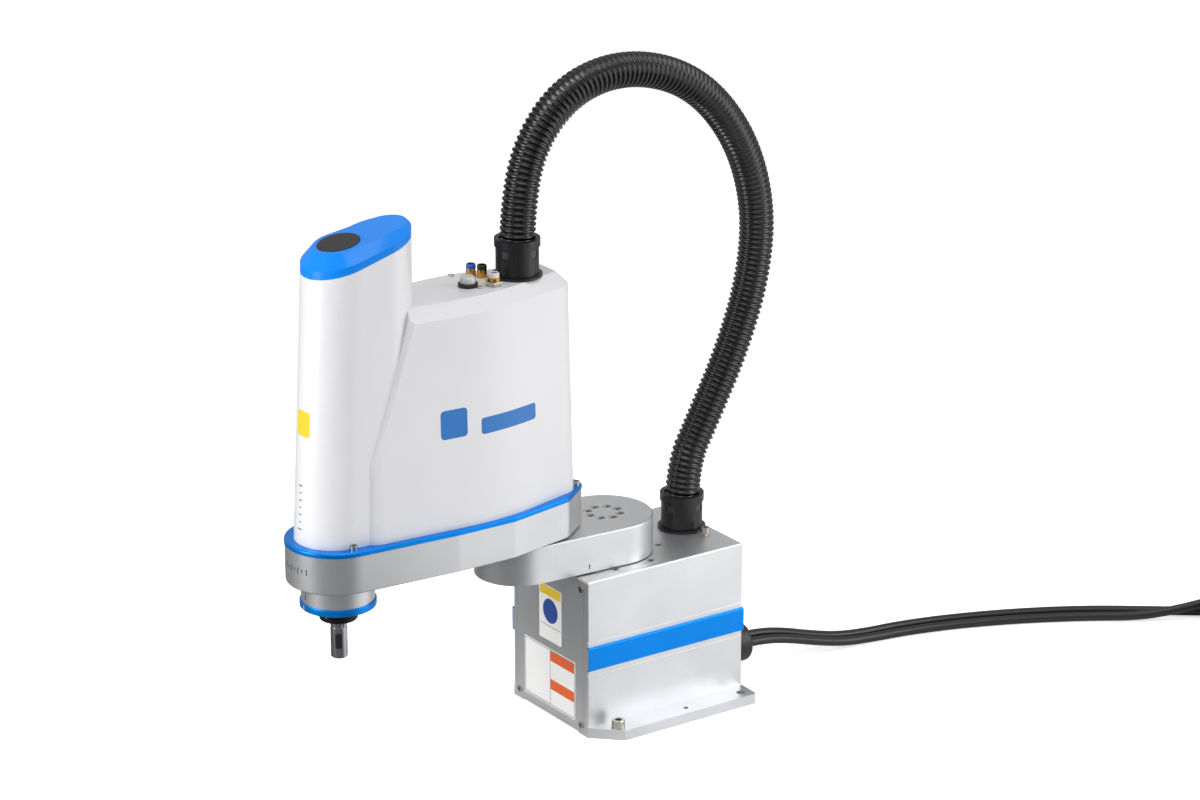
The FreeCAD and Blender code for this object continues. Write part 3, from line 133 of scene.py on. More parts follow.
def clouded_colour(tree, place, base, tint):
    """The socket of a colour that drifts a little darker and lighter."""
    clouds = add_node(tree, "TexNoise", Scale=CLOUD_SCALE, Detail=3.0)
    tree.links.new(place.outputs["Object"], clouds.inputs["Vector"])
    ramp = add_node(tree, "ValToRGB")
    dark, light = ramp.color_ramp.elements
    dark.position, light.position = CLOUD_EDGES
    dark.color = tuple(c * (1 - tint) for c in base) + (1,)
    light.color = tuple(min(1.0, c * (1 + tint * 0.5)) for c in base) + (1,)
    tree.links.new(clouds.outputs["Fac"], ramp.inputs["Fac"])
    return ramp.outputs["Color"]


def fine_grain(tree, place, rough, grain, bump):
    """The sockets of a roughness and a bump that share one fine noise."""
    speckle = add_node(tree, "TexNoise", Scale=grain, Detail=4.0, Roughness=0.6)
    tree.links.new(place.outputs["Object"], speckle.inputs["Vector"])
    spread = add_node(tree, "MapRange", To_Min=max(0.02, rough - ROUGH_SPREAD),
                      To_Max=min(1.0, rough + ROUGH_SPREAD))
    tree.links.new(speckle.outputs["Fac"], spread.inputs["Value"])
    raised = add_node(tree, "Bump", Strength=bump, Distance=BUMP_DISTANCE)
    tree.links.new(speckle.outputs["Fac"], raised.inputs["Height"])
    return spread.outputs["Result"], raised.outputs["Normal"]


print("grain changes the roughness by", ROUGH_SPREAD, "each way")

# %% [markdown]
# Metal, paint, nylon and rubber differ in a handful of numbers, so a tree drawn by hand for each of
# them would repeat itself thirty times. One recipe makes them all. What is the same all over a piece,
# such as how metallic it is or how thick its clear coat, is set straight on the shader, and only
# colour, roughness and bump come from the noise.

# %% One recipe for every finish
def finish(name, code, rough, grain, bump, tint=0.06, metal=0.0, coat=0.0, coat_rough=0.1, sheen=0.0,
           anisotropic=0.0, transmission=0.0, ior=1.5, specular=0.5):
    material = bpy.data.materials.new(name)
    material.use_nodes = True
    tree = material.node_tree
    shader = tree.nodes["Principled BSDF"]
    for socket, value in (("Metallic", metal), ("Coat Weight", coat), ("Coat Roughness", coat_rough),
                          ("Sheen Weight", sheen), ("Anisotropic", anisotropic),
                          ("Transmission Weight", transmission), ("IOR", ior),
                          ("Specular IOR Level", specular)):
        shader.inputs[socket].default_value = value
    place = add_node(tree, "TexCoord")
    roughness, normal = fine_grain(tree, place, rough, grain, bump)
    tree.links.new(clouded_colour(tree, place, colour(code), tint), shader.inputs["Base Color"])
    tree.links.new(roughness, shader.inputs["Roughness"])
    tree.links.new(normal, shader.inputs["Normal"])
    return material


print("the recipe is ready")

# %% [markdown]
# The base is blasted aluminium under clear anodising, and the arm is a blasted casting. Both are a dull
# silver that spreads each highlight, so they get a strong bump of very fine grain and a roughness near
# 0.4. The ball spline's shaft is ground and polished, screws are zinc plated, motors and the collar's
# steel are black, and the trim is dyed blue. A scanned surface would look no better at this distance,
# and would be heavier.

# %% Metals
anodised = finish("blasted_anodised_aluminium", "dcdddf", 0.38, 2200, 0.25, metal=0.9)
casting = finish("blasted_arm_casting", "d6d7d9", 0.37, 2000, 0.28, metal=0.85)
machined = finish("machined_steel", "b8b8ba", 0.28, 900, 0.05, metal=1.0, anisotropic=0.4)
polished = finish("polished_shaft", "b8b8bc", 0.12, 700, 0.02, metal=1.0, anisotropic=0.3)
zinc = finish("zinc_plated_screws", "b9b6ac", 0.26, 1500, 0.06, metal=1.0)
black_oxide = finish("black_oxide_steel", "1a1a1c", 0.38, 1200, 0.08, metal=0.6)
motor_black = finish("motor_black", "19191b", 0.45, 1500, 0.1, metal=0.2)
brass = finish("turned_brass", "c99a4c", 0.24, 1100, 0.05, metal=1.0, anisotropic=0.3)
nickel = finish("nickel_plate", "b4b1a8", 0.22, 1300, 0.04, metal=1.0)
blue_trim = finish("blue_trim", "0088ea", 0.34, 900, 0.05, tint=0.05, metal=0.7, specular=0.3)
print(len(bpy.data.materials), "finishes so far")

# %% [markdown]
# The tall cover is glossy white plastic with a shine that lies over the colour, which is what a clear
# coat does in the shader. The cap on its column is blue, and the glands, hose and cable jackets are
# black. Black plastic shows only by its highlights. One black could serve for all of it, but then hose
# and belt would look like one material, so each black has a gloss of its own, from the shiny hose to
# the dull belts. The lamp's dome lets a quarter of the light through.

# %% Plastics and rubber
white_cover = finish("white_cover", "e9e9ec", 0.32, 260, 0.015, tint=0.01, coat=0.5, coat_rough=0.15)
blue_cap = finish("blue_cap", "0088f2", 0.3, 400, 0.03, tint=0.04, coat=0.15, coat_rough=0.12,
                  specular=0.2)
black_nylon = finish("black_nylon", "17171a", 0.42, 1600, 0.12, tint=0.2)
conduit_nylon = finish("conduit_nylon", "08080a", 0.22, 1400, 0.02, tint=0.2, specular=0.6)
jacket = finish("cable_jacket", "111113", 0.36, 900, 0.06, tint=0.2)
soft_rubber = finish("soft_rubber", "121214", 0.6, 1400, 0.1, tint=0.2)
belt_rubber = finish("belt_rubber", "151515", 0.7, 1800, 0.15, tint=0.2)
clear_dome = finish("clear_dome", "e6eaec", 0.08, 600, 0.01, coat=1.0, transmission=0.25, ior=1.49)
print(len(bpy.data.materials), "finishes so far")

# %% [markdown]
# The record that comes with the frame says which material slot each CAD piece uses. Finishes could be
# given piece by piece, but sixty lines of that would hide a mistake. A table from slot to finish, and
# one loop over the record, dress every piece and fail loudly on a slot that the table lacks.

# %% Dress the CAD pieces
SLOT_FINISH = {
    "anodised_aluminium": anodised, "cast_aluminium": casting, "blue_trim": blue_trim,
    "white_cover": white_cover, "blue_cap": blue_cap, "black_plastic": black_nylon,
    "conduit": conduit_nylon, "cable_jacket": jacket, "rubber_seal": soft_rubber,
    "screw_steel": zinc, "bearing_steel": machined, "shaft_steel": polished,
    "black_steel": black_oxide, "motor_black": motor_black, "reducer_steel": machined,
    "brass": brass, "belt_rubber": belt_rubber, "lamp_lens": clear_dome, "connector_metal": nickel,
}
subparts = frame["record"]["subparts"]
for part in subparts:
    slots = nodes[part["node"]].data.materials
    slots.clear()
    slots.append(SLOT_FINISH[part["material_slot"]])
print("dressed", len(subparts), "CAD pieces")

# %% [markdown]
# A hose or a cable has no corners, because its own stiffness rounds every bend. Straight runs with
# rounded corners would look like bent wire, and Bezier curves need two handles at each point. A NURBS
# curve of order 3 needs only the listed points and stays smooth between them. The
# order is set after the points are there, because Blender lowers it on a curve that is still too short.
# The line that Blender draws can then be read back as a mesh, for all that has to follow it.

# %% Smooth lines through chosen points
def metres(points):
    return [Vector(p) * MM for p in points]


def route_curve(name, points, radius=0.0, steps=12):
    """A smooth curve with the route's points as its control points, round with the given radius."""
    data = bpy.data.curves.new(name, "CURVE")
    data.dimensions = "3D"
    data.resolution_u = steps
    data.bevel_depth = radius
    data.bevel_resolution = 5
    data.use_fill_caps = radius > 0
    spline = data.splines.new("NURBS")
    spline.points.add(len(points) - 1)
    for control, place in zip(spline.points, points):
        control.co = (*place, 1)
    spline.order_u = 3
    spline.use_endpoint_u = True
    thing = bpy.data.objects.new(name, data)
    bpy.context.scene.collection.objects.link(thing)
    return thing


def line_of(points):
    """The line that Blender draws through a route's control points."""
    guide = route_curve("route_guide", points)
    bpy.context.view_layer.update()
    drawn = bpy.data.meshes.new_from_object(guide)
    line = [v.co.copy() for v in drawn.vertices]
    bpy.data.meshes.remove(drawn)
    bpy.data.objects.remove(guide)
    return line


def length_of(line):
    return sum((b - a).length for a, b in zip(line, line[1:]))


print("route helpers are ready")

# %% [markdown]
# Most of the pieces that follow are rows of corners joined by faces: the hose, the straps, the stickers
# and the turned rings. Blender's own cylinders and boxes could be stretched and cut to fit, but each
# would need its own list of edits. A mesh from corners keeps every shape as a few lines of arithmetic.

# %% Meshes from corners
def new_mesh(name, corners, faces, material, smooth=True):
    data = bpy.data.meshes.new(name)
    data.from_pydata([tuple(c) for c in corners], [], faces)
    data.validate()
    data.polygons.foreach_set("use_smooth", [smooth] * len(data.polygons))
    thing = bpy.data.objects.new(name, data)
    bpy.context.scene.collection.objects.link(thing)
    data.materials.append(material)
    return thing


print("mesh helper is ready")

# %% [markdown]
# The thick black line over the robot is a corrugated nylon conduit: a thin wall folded into rings, so
# that it bends without kinking. An array of rings bent along a curve would stretch them on the outside
# of the bend, and a bump map would leave the outline smooth. Here the line is divided evenly, and a
# ring of corners stands at each point, with a radius that follows the shape of one rib over and over.

# %% A ribbed tube along a line
CONDUIT_R = 17.0
RIB_PITCH = 5.4
RIB_DEPTH = 1.9
RIB_SHAPE = (1.0, 1.0, 0.96, 0.55, 0.08, 0.0, 0.08, 0.6)
CONDUIT_SIDES = 48
SIDEWAYS = Vector((0, 1, 0))


def even_points(line, spacing):
    """The same line with points at an even spacing, and its length."""
    lengths = [0.0]
    for a, b in zip(line, line[1:]):
        lengths.append(lengths[-1] + (b - a).length)
    count = max(2, round(lengths[-1] / spacing))
    result, j = [], 0
    for i in range(count + 1):
        want = lengths[-1] * i / count
        while j < len(line) - 2 and lengths[j + 1] < want:
            j += 1
        share = (want - lengths[j]) / max(lengths[j + 1] - lengths[j], 1e-12)
        result.append(line[j].lerp(line[j + 1], min(1.0, share)))
    return result, lengths[-1]


def swept_tube(name, path, radius_at, sides, material):
    """A closed tube along a path that lies nearly in one upright plane. Its radius may change."""
    corners, faces = [], []
    for i, point in enumerate(path):
        ahead = path[min(i + 1, len(path) - 1)] - path[max(i - 1, 0)]
        ahead.normalize()
        across = SIDEWAYS.cross(ahead).normalized()
        other = ahead.cross(across)
        for k in range(sides):
            a = 2 * math.pi * k / sides
            corners.append(point + (across * math.cos(a) + other * math.sin(a)) * radius_at(i))
    for i in range(len(path) - 1):
        for k in range(sides):
            n = (k + 1) % sides
            faces.append((i * sides + k, i * sides + n, (i + 1) * sides + n, (i + 1) * sides + k))
    faces.append(tuple(reversed(range(sides))))
    faces.append(tuple(range((len(path) - 1) * sides, len(path) * sides)))
    return new_mesh(name, corners, faces, material)


def rib_radius(i):
    """The conduit's radius at the path's point i, in metres."""
    return (CONDUIT_R - RIB_DEPTH * (1 - RIB_SHAPE[i % len(RIB_SHAPE)])) * MM


print("one rib has the radii", [round(rib_radius(i) / MM, 2) for i in range(len(RIB_SHAPE))])

# %% [markdown]
# The conduit leaves the gland of the base upright, swings back and up, and comes down into the gland
# over the elbow. It is one hose on the robot, but two joints bend it, and the CAD frame holds it as
# two halves. Two hoses with a clip between them would show a seam. So the hose is cut at its highest
# stretch into two halves that meet at a shared point, and each stands in place of one CAD half.

# %% The two halves of the conduit
CONDUIT_LOWER = [
    (-62, -6.8, 178), (-62, -6.8, 224), (-88, -6.2, 272), (-121, -5.4, 336), (-145, -4.6, 408),
    (-149, -4, 480), (-124, -4, 554), (-70, -4, 614), (-32.5, -4, 627),
]
CONDUIT_UPPER = [
    (-32.5, -4, 627), (5, -4, 640), (74, -3, 628), (119, -1, 582), (136, 3, 520), (136, 3, 476.5),
]


def conduit_half(half, route):
    """Half of the conduit: a ribbed tube along its route, which takes the place of the CAD half and hides
    it.
    """
    path, length = even_points(line_of(metres(route)), RIB_PITCH * MM / len(RIB_SHAPE))
    tube = swept_tube("ribbed_conduit_" + half, path, rib_radius, CONDUIT_SIDES, conduit_nylon)
    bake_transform(tube)
    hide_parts("conduit_" + half)
    print("the", half, "half is", round(length, 4), "m long and has", len(path) // len(RIB_SHAPE), "ribs")


conduit_half("lower", CONDUIT_LOWER)
conduit_half("upper", CONDUIT_UPPER)

# %% [markdown]
# Two cables, for power and for signals, leave through the gland at the rear, drop to the floor and run
# on out of the picture. A cable of this kind is stiff, so it doesn't wander: it sinks in one long curve
# and then lies almost straight. Gravity could be simulated, but the line would then change with every
# run. The points are listed instead, close together at the drop and far apart on the floor. The
# signal cable rises before the coils, because its own coil lies on the other one.

# %% Routes of the two cables
CABLE_R = 4.7
POWER_CABLE = [
    (-119, 14, 36.5), (-142, 14, 35.5), (-172, 14, 29), (-206, 14.5, 18), (-240, 15.5, 8.6),
    (-275, 18, 4.9), (-316, 23, 4.8), (-370, 38, 4.8), (-437, 65, 4.8), (-500, 99, 4.8),
    (-556, 140, 4.8), (-612, 182, 4.8),
]
SIGNAL_CABLE = [
    (-119, 26, 33.5), (-142, 26, 32.5), (-172, 26.5, 26), (-206, 27.5, 15.5), (-240, 29.5, 7),
    (-275, 33, 4.8), (-316, 40, 4.8), (-368, 55, 4.8), (-430, 81, 4.8), (-490, 114, 4.8),
    (-536, 147, 5.5), (-570, 168, 12.5), (-600, 183, 20), (-630, 197, 24),
]
# From the rim of its coil each cable goes round into its own connector
POWER_TAIL = [
    (-557.0, 286.6, 12.5), (-531.2, 275.1, 8), (-504.2, 283.2, 5), (-489.1, 307.1, 4.9), (-493.2, 335.0, 6),
    (-514.6, 353.5, 9), (-545, 353.5, 11), (-575, 353.5, 11), (-601, 353.5, 11),
]
SIGNAL_TAIL = [
    (-630, 339.4, 33), (-602.6, 349.3, 37), (-576.6, 339.8, 42), (-562.8, 315.9, 45), (-567.6, 288.7, 46.2),
    (-588.8, 270.9, 46.6), (-612, 270.9, 46.6), (-626, 270.9, 46.6), (-639, 270.9, 46.6),
]
print("hand-set points:", len(POWER_CABLE + POWER_TAIL), "for power and", len(SIGNAL_CABLE + SIGNAL_TAIL),
      "for signals")

# %% [markdown]
# Such a robot comes with about three metres of each cable, and the part of it that isn't needed is
# wound up. A plain helix would be a spring, with its turns one above the other. A hand lays the turns
# flat, side by side, and then goes back over them. So the coil has lanes: four turns step inwards on
# the floor, the cable climbs by its own width, and four turns step outwards on top. Each step is eased
# in and out over a short arc, and elsewhere the turns are true circles that lie against each other.

# %% Turns of a coil
COIL_CENTRE = (-623.3, 270.9)
# Where both cables reach the rim of their coils, seen from above
COIL_START = (-661.2, 216)
COIL_MEAN_R = 52.5
WINDING_HALF = 4 * CABLE_R
COIL_HEIGHT = 4 * CABLE_R
TURN_STEPS = 24
# Each turn's distance from the middle of the winding, in cable radii, and one lane more to step to
LANES = (3, 1, -1, -3, -3, -1, 1, 3, 3)
CLIMBING_TURN = 3
# The shares of a turn over which the cable changes its lane or its layer
STEP_DOWN_LANE, STEP_UP_LANE, CLIMB = (0.88, 1.0), (0.6, 0.74), (0.74, 0.88)


def eased(share, zone):
    """0 before the zone, 1 after it and a smooth rise inside it."""
    x = min(1.0, max(0.0, (share - zone[0]) / (zone[1] - zone[0])))
    return x * x * (3 - 2 * x)


def coil_turns(bottom, turns):
    """Control points of a coil that lies on the height bottom."""
    start = math.atan2(COIL_START[1] - COIL_CENTRE[1], COIL_START[0] - COIL_CENTRE[0])
    points = []
    for i in range(round(turns * TURN_STEPS) + 1):
        turn = i // TURN_STEPS
        share = i / TURN_STEPS - turn
        zone = STEP_DOWN_LANE if turn < CLIMBING_TURN else STEP_UP_LANE
        lane = LANES[turn] + (LANES[turn + 1] - LANES[turn]) * eased(share, zone)
        layer = 0 if turn < CLIMBING_TURN else eased(share, CLIMB) if turn == CLIMBING_TURN else 1
        # The spline cuts inside its control points, so they stand a little further out than the turn
        radius = (COIL_MEAN_R + lane * CABLE_R) / math.cos(math.pi / TURN_STEPS)
        angle = start - 2 * math.pi * i / TURN_STEPS
        points.append((COIL_CENTRE[0] + radius * math.cos(angle), COIL_CENTRE[1] + radius * math.sin(angle),
                       bottom + CABLE_R * (1 + 2 * layer)))
    return points


print("a coil is", 2 * (COIL_MEAN_R + WINDING_HALF), "mm wide and", COIL_HEIGHT, "mm high")

# %% [markdown]
# Each cable is one curve from the gland to its connector, so nothing can come apart where the run, the
# coil and the tail meet. A mesh tube would give the same look with far more corners to store. A curve
# with a round bevel is enough here, because the jacket is smooth, and it stays easy to bend by hand
# later.

# %% Power and signal cables
# Each coil ends where its tail takes over
POWER_TURNS = 7.584
SIGNAL_TURNS = 7.348


def cable(use, route, bottom, turns, tail):
    """One cable: its run, a coil that lies on the height bottom, and the tail into its connector."""
    points = metres(route + coil_turns(bottom, turns) + tail)
    thing = route_curve(use + "_cable_run", points, CABLE_R * MM, steps=8)
    thing.data.materials.append(jacket)
    length = length_of(line_of(points))
    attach(thing, "base")
    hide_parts(use + "_cable", use + "_cable_coil")
    print("the", use, "cable is", round(length, 3), "m long")


cable("power", POWER_CABLE, 0, POWER_TURNS, POWER_TAIL)
cable("signal", SIGNAL_CABLE, COIL_HEIGHT, SIGNAL_TURNS, SIGNAL_TAIL)

# %% [markdown]
# Two woven straps hold the coils together, each pulled tight round the whole bundle. Cloth could be
# wrapped round it by simulation, but a strap under tension has no folds. Its section is the rounded
# outline of the bundle, drawn once inside and once outside, and its weave is a fine, strong bump with a
# little sheen.

# %% Straps round the coils
STRAP_WIDTH = 13.0
STRAP_THICKNESS = 0.95
STRAP_GAP = 0.2
STRAP_CORNER = 4.0
STRAP_LIFT = 0.05
STRAP_CREASE = math.radians(40)
strap_weave = finish("strap_weave", "202023", 0.75, 2600, 0.4, tint=0.3, sheen=0.3)


def rounded_rectangle(left, right, foot, head, radius, steps=5):
    points = []
    for cx, cy, start in ((right - radius, head - radius, 0), (left + radius, head - radius, 90),
                          (left + radius, foot + radius, 180), (right - radius, foot + radius, 270)):
        for i in range(steps + 1):
            a = math.radians(start + 90 * i / steps)
            points.append((cx + radius * math.cos(a), cy + radius * math.sin(a)))
    return points


def strap(side, turn_to):
    """A closed strap across the winding, at an angle round the coil's centre."""
    half, top, thick = WINDING_HALF + STRAP_GAP, 2 * COIL_HEIGHT + STRAP_GAP, STRAP_THICKNESS
    inside = rounded_rectangle(-half, half, thick + STRAP_LIFT, top, STRAP_CORNER)
    outside = rounded_rectangle(-half - thick, half + thick, STRAP_LIFT, top + thick, STRAP_CORNER + thick)
    out, along = (math.cos(turn_to), math.sin(turn_to)), (-math.sin(turn_to), math.cos(turn_to))
    corners, faces = [], []
    for x, z in inside + outside:
        for shift in (-STRAP_WIDTH / 2, STRAP_WIDTH / 2):
            corners.append((COIL_CENTRE[0] + out[0] * (COIL_MEAN_R + x) + along[0] * shift,
                            COIL_CENTRE[1] + out[1] * (COIL_MEAN_R + x) + along[1] * shift, z))
    n = len(inside)
    for k in range(n):
        a, b, c, d = 2 * k, 2 * ((k + 1) % n), 2 * (n + k), 2 * (n + (k + 1) % n)
        faces += [(a, b, b + 1, a + 1), (c, c + 1, d + 1, d), (a, c, d, b), (a + 1, b + 1, d + 1, c + 1)]
    thing = new_mesh("coil_strap_" + side, metres(corners), faces, strap_weave)
    thing.data.set_sharp_from_angle(angle=STRAP_CREASE)
    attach(thing, "base")


strap("left", math.radians(145))
strap("right", math.radians(-35))
print("two straps of", STRAP_WIDTH, "mm")

# %% [markdown]
# Stickers are thin printed film, and marks on a casting are ink. Both are almost flat, yet they follow
# the surface under them, and the cover under some of them is curved. A picture projected on the cover
# would be simple, but its edges would blur and it would belong to no piece. Here each mark is a thin
# closed plate: its outline is drawn flat in the air, and every point is sent along a ray until it meets
# the CAD surface.

# %% Outlines of marks
def disc(x, y, radius, steps=40):
    """A circle, or with few steps a polygon."""
    return [(x + radius * math.cos(2 * math.pi * i / steps), y + radius * math.sin(2 * math.pi * i / steps))
            for i in range(steps)]


def bar(x, y, width, height):
    """A straight mark with its middle at x and y, and slightly rounded corners."""
    return rounded_rectangle(x - width / 2, x + width / 2, y - height / 2, y + height / 2,
                             min(width, height) * 0.2, 2)


def close_points(outline, spacing):
    """The same outline with more points along its long sides, so that it can follow a curved surface."""
    result = []
    for (x0, y0), (x1, y1) in zip(outline, outline[1:] + outline[:1]):
        steps = max(1, math.ceil(math.hypot(x1 - x0, y1 - y0) / spacing))
        result += [(x0 + (x1 - x0) * i / steps, y0 + (y1 - y0) * i / steps) for i in range(steps)]
    return result


trial = bar(0, 0, 6, 1)
print("a bar has", len(trial), "corners, and with close points", len(close_points(trial, 0.5)))

# %% [markdown]
# Each ray could be tried against every face of a CAD piece, but a cover has thousands of them.
# Blender's own search tree finds the right face at once, and is built only once for each piece. The
# plate's points lie in rings from its middle to its outline, so that a wide mark can bend with a curved
# cover. The upper side stands proud by a hair, the lower side dips just under the surface, and the rim
# closes them, so that no gap shows at a grazing angle.

# %% Plates that follow a surface
ALONG_Y, ALONG_Z, BACK_X = (0, 1, 0), (0, 0, 1), (-1, 0, 0)
POINT_SPACING = 2.5
DIP = 0.05
surfaces = {}


def surface_of(node):
    """A search tree of one CAD node's faces, made once."""
    if node not in surfaces:
        data = nodes[node].data
        surfaces[node] = BVHTree.FromPolygons([v.co for v in data.vertices],
                                              [f.vertices for f in data.polygons])
    return surfaces[node]


def skin_mark(name, body, node, outline, origin, across, material, proud, rings, up=ALONG_Z):
    """A thin mark that follows a CAD surface. Its outline is drawn in millimetres about the origin, and
    each point is sent along the ray that goes into the surface."""
    outline = close_points(outline, POINT_SPACING)
    across, up, origin = Vector(across).normalized(), Vector(up).normalized(), Vector(origin) * MM
    inward = up.cross(across)
    middle_x = sum(x for x, y in outline) / len(outline)
    middle_y = sum(y for x, y in outline) / len(outline)
    flat = [(middle_x, middle_y)]
    for ring in range(1, rings + 1):
        share = ring / rings
        flat += [(middle_x + (x - middle_x) * share, middle_y + (y - middle_y) * share) for x, y in outline]
    top, bottom = [], []
    for x, y in flat:
        hit, normal, _, _ = surface_of(node).ray_cast(origin + (across * x + up * y) * MM, inward)
        outward = -normal if normal.dot(inward) > 0 else normal
        top.append(hit + outward * proud * MM)
        bottom.append(hit - outward * DIP * MM)
    n, count = len(outline), len(flat)
    faces = []
    for layer in (0, count):
        faces += [(layer, layer + 1 + k, layer + 1 + (k + 1) % n) for k in range(n)]
        for ring in range(rings - 1):
            a, b = layer + 1 + ring * n, layer + 1 + (ring + 1) * n
            faces += [(a + k, b + k, b + (k + 1) % n, a + (k + 1) % n) for k in range(n)]
    rim = 1 + (rings - 1) * n
    faces += [(rim + k, count + rim + k, count + rim + (k + 1) % n, rim + (k + 1) % n) for k in range(n)]
    thing = new_mesh(name, top + bottom, faces, material, smooth=False)
    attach(thing, body)


print("a mark has up to", POINT_SPACING, "mm between its points")

# %% [markdown]
# Film and ink are the plainest finishes here: even in colour, half glossy and with hardly any grain.
# They could share one finish and differ in colour alone. But stickers, and the print on the glossy
# cover, have a thin clear layer, and ink on bare metal has none, so the first get a coat and the ticks
# do not.

# %% Film and ink
FILM = {"rough": 0.45, "grain": 500, "bump": 0.02, "tint": 0.03, "coat": 0.2}
sticker_white = finish("sticker_white", "f4f4f2", 0.45, 500, 0.02, tint=0.02, coat=0.2)
sticker_yellow = finish("sticker_yellow", "f2cf17", **FILM)
sticker_orange = finish("sticker_orange", "e8601c", **FILM)
sticker_blue = finish("sticker_blue", "16489c", **FILM)
print_black = finish("print_black", "222224", 0.5, 700, 0.03, tint=0.1)
print_blue = finish("print_blue", "1673c4", 0.4, 500, 0.02, tint=0.03, coat=0.2)
print_lime = finish("print_lime", "c8d838", 0.5, 500, 0.02, tint=0.03)
print(len(bpy.data.materials), "finishes so far")

# %% [markdown]
# The front of the base carries two stickers, left here as bare blocks of colour: a small one with a
# yellow band and a blue disc, and a large one with a thin black frame and two orange bands. They could
# be painted on one plate with a pattern of nodes. Separate plates have sharper edges, and each block
# can take a colour of its own. The print stands a twentieth of a millimetre higher than the film, so it
# is never hidden by it.

# %% Stickers on the base
FILM_PROUD = 0.15
PRINT_PROUD = 0.2
BEFORE_BASE = (140, 0, 0)
LINE = 0.5
# Left, right, foot and head of each block, seen from the front, and the radius of its corners
SMALL_FILM = (-18.5, 19.7, 79, 136, 1.2)
SMALL_BAND = (-17.3, 18.5, 125.5, 135, 0.6)
LARGE_FILM = (-44.5, 43, 11, 71, 1.2)
BAND_HIGH = (0.4, 41.2, 58.6, 69.2, 0.4)
BAND_LOW = (0.4, 41.2, 28.8, 39.6, 0.4)
# Middle and radius of the disc, and middle, width and height of the straight lines
SMALL_DISC = (0.6, 110.5, 12.6)
SMALL_RULE = (0.6, 94.5, 35.5, LINE)
LARGE_LINES = {
    "left": (-43.1, 41, LINE, 57), "right": (41.6, 41, LINE, 57), "middle": (0, 41, LINE, 57),
    "top": (-0.75, 69.6, 85, LINE), "foot": (-0.75, 12.5, 85, LINE),
}
film_blocks = [
    ("small_sticker", rounded_rectangle(*SMALL_FILM), sticker_white, FILM_PROUD),
    ("small_sticker_band", rounded_rectangle(*SMALL_BAND), sticker_yellow, PRINT_PROUD),
    ("small_sticker_disc", disc(*SMALL_DISC), sticker_blue, PRINT_PROUD),
    ("small_sticker_rule", bar(*SMALL_RULE), print_black, PRINT_PROUD),
    ("large_sticker", rounded_rectangle(*LARGE_FILM), sticker_white, FILM_PROUD),
    ("large_sticker_band_high", rounded_rectangle(*BAND_HIGH), sticker_orange, PRINT_PROUD),
    ("large_sticker_band_low", rounded_rectangle(*BAND_LOW), sticker_orange, PRINT_PROUD),
]
film_blocks += [("large_sticker_line_" + side, bar(*line), print_black, PRINT_PROUD)
                for side, line in LARGE_LINES.items()]
for name, outline, material, proud in film_blocks:
    skin_mark(name, "base", "base_front_cover", outline, BEFORE_BASE, ALONG_Y, material, proud, rings=1)
print("blocks on the base:", len(film_blocks))

# %% [markdown]
# The cover has a yellow sticker high on its column and blue print on its side, here a plain square and
# a plain bar. They could be painted into the cover's own finish, but then that finish would fit only
# this cover, and the blocks couldn't be taken off. Ink is far thinner than film, so the blocks stand
# out by less than a tenth of a millimetre. The long bar gets more rings of points than the others, so
# that it can bend with the cover's side.

# %% Sticker and print on the cover
COVER_PRINT_PROUD = 0.08
BEFORE_ARM = (450, 0, 0)
COLUMN_FILM = (-9, 11, 347, 371, 3)
SQUARE, SQUARE_FROM = (-14, 14, -14, 14, 4), (236, 90, 345)
BAR, BAR_FROM = (-33, 33, -8, 8, 3), (174, 90, 337)
skin_mark("column_sticker", "outer_arm", "arm_cover", rounded_rectangle(*COLUMN_FILM), BEFORE_ARM, ALONG_Y,
          sticker_yellow, FILM_PROUD, rings=6)
skin_mark("cover_print_square", "outer_arm", "arm_cover", rounded_rectangle(*SQUARE), SQUARE_FROM, BACK_X,
          print_blue, COVER_PRINT_PROUD, rings=6)
skin_mark("cover_print_bar", "outer_arm", "arm_cover", rounded_rectangle(*BAR), BAR_FROM, BACK_X,
          print_blue, COVER_PRINT_PROUD, rings=10)
print("a sticker and two blocks of print on the cover")

# %% [markdown]
# Fitters set a robot's axes by short ticks that line up when each joint is at zero. There is a scale of
# them up the column, a row across the nose and single ones at the neck, the inner arm and the shoulder.
# They could be cut as grooves, but here they are printed, so each is a bar that stands out by no more
# than ink.

# %% Ticks for setting the joints
TICK_PROUD = 0.05
TICK_LINE = 1.1
# The scale up the column: its lowest tick, the step between ticks and their widths
SCALE_FOOT, SCALE_STEP = 257, 7
SCALE_WIDTHS = (6, 3, 4.5, 3, 4.5, 3, 6)
# The row across the nose: its first tick, the step, the height, the count and the two lengths by turns
ROW_START, ROW_STEP, ROW_HEIGHT, ROW_COUNT = -11, 5, 221, 7
ROW_LENGTHS = (6, 3.6)
# Single ticks: place across, height, width and length
NECK_TICK = (-1, 188, 1.3, 6)
RING_TICK = (-2, 177.5, 1.2, 4.4)
ARM_TICK, ARM_TICK_FROM = (0, 0, 1.2, 5), (83.7, 90, 168)
SHOULDER_TICK, SHOULDER_TICK_FROM = (0, 0, 5, 0.9), (75.2, 39, 190)
OUT_FROM_SHOULDER, ROUND_SHOULDER = (1, 1, 0), (-1, 1, 0)


def tick(name, body, node, outline, origin=BEFORE_ARM, across=ALONG_Y, material=print_black, up=ALONG_Z):
    skin_mark(name, body, node, outline, origin, across, material, TICK_PROUD, 2, up)


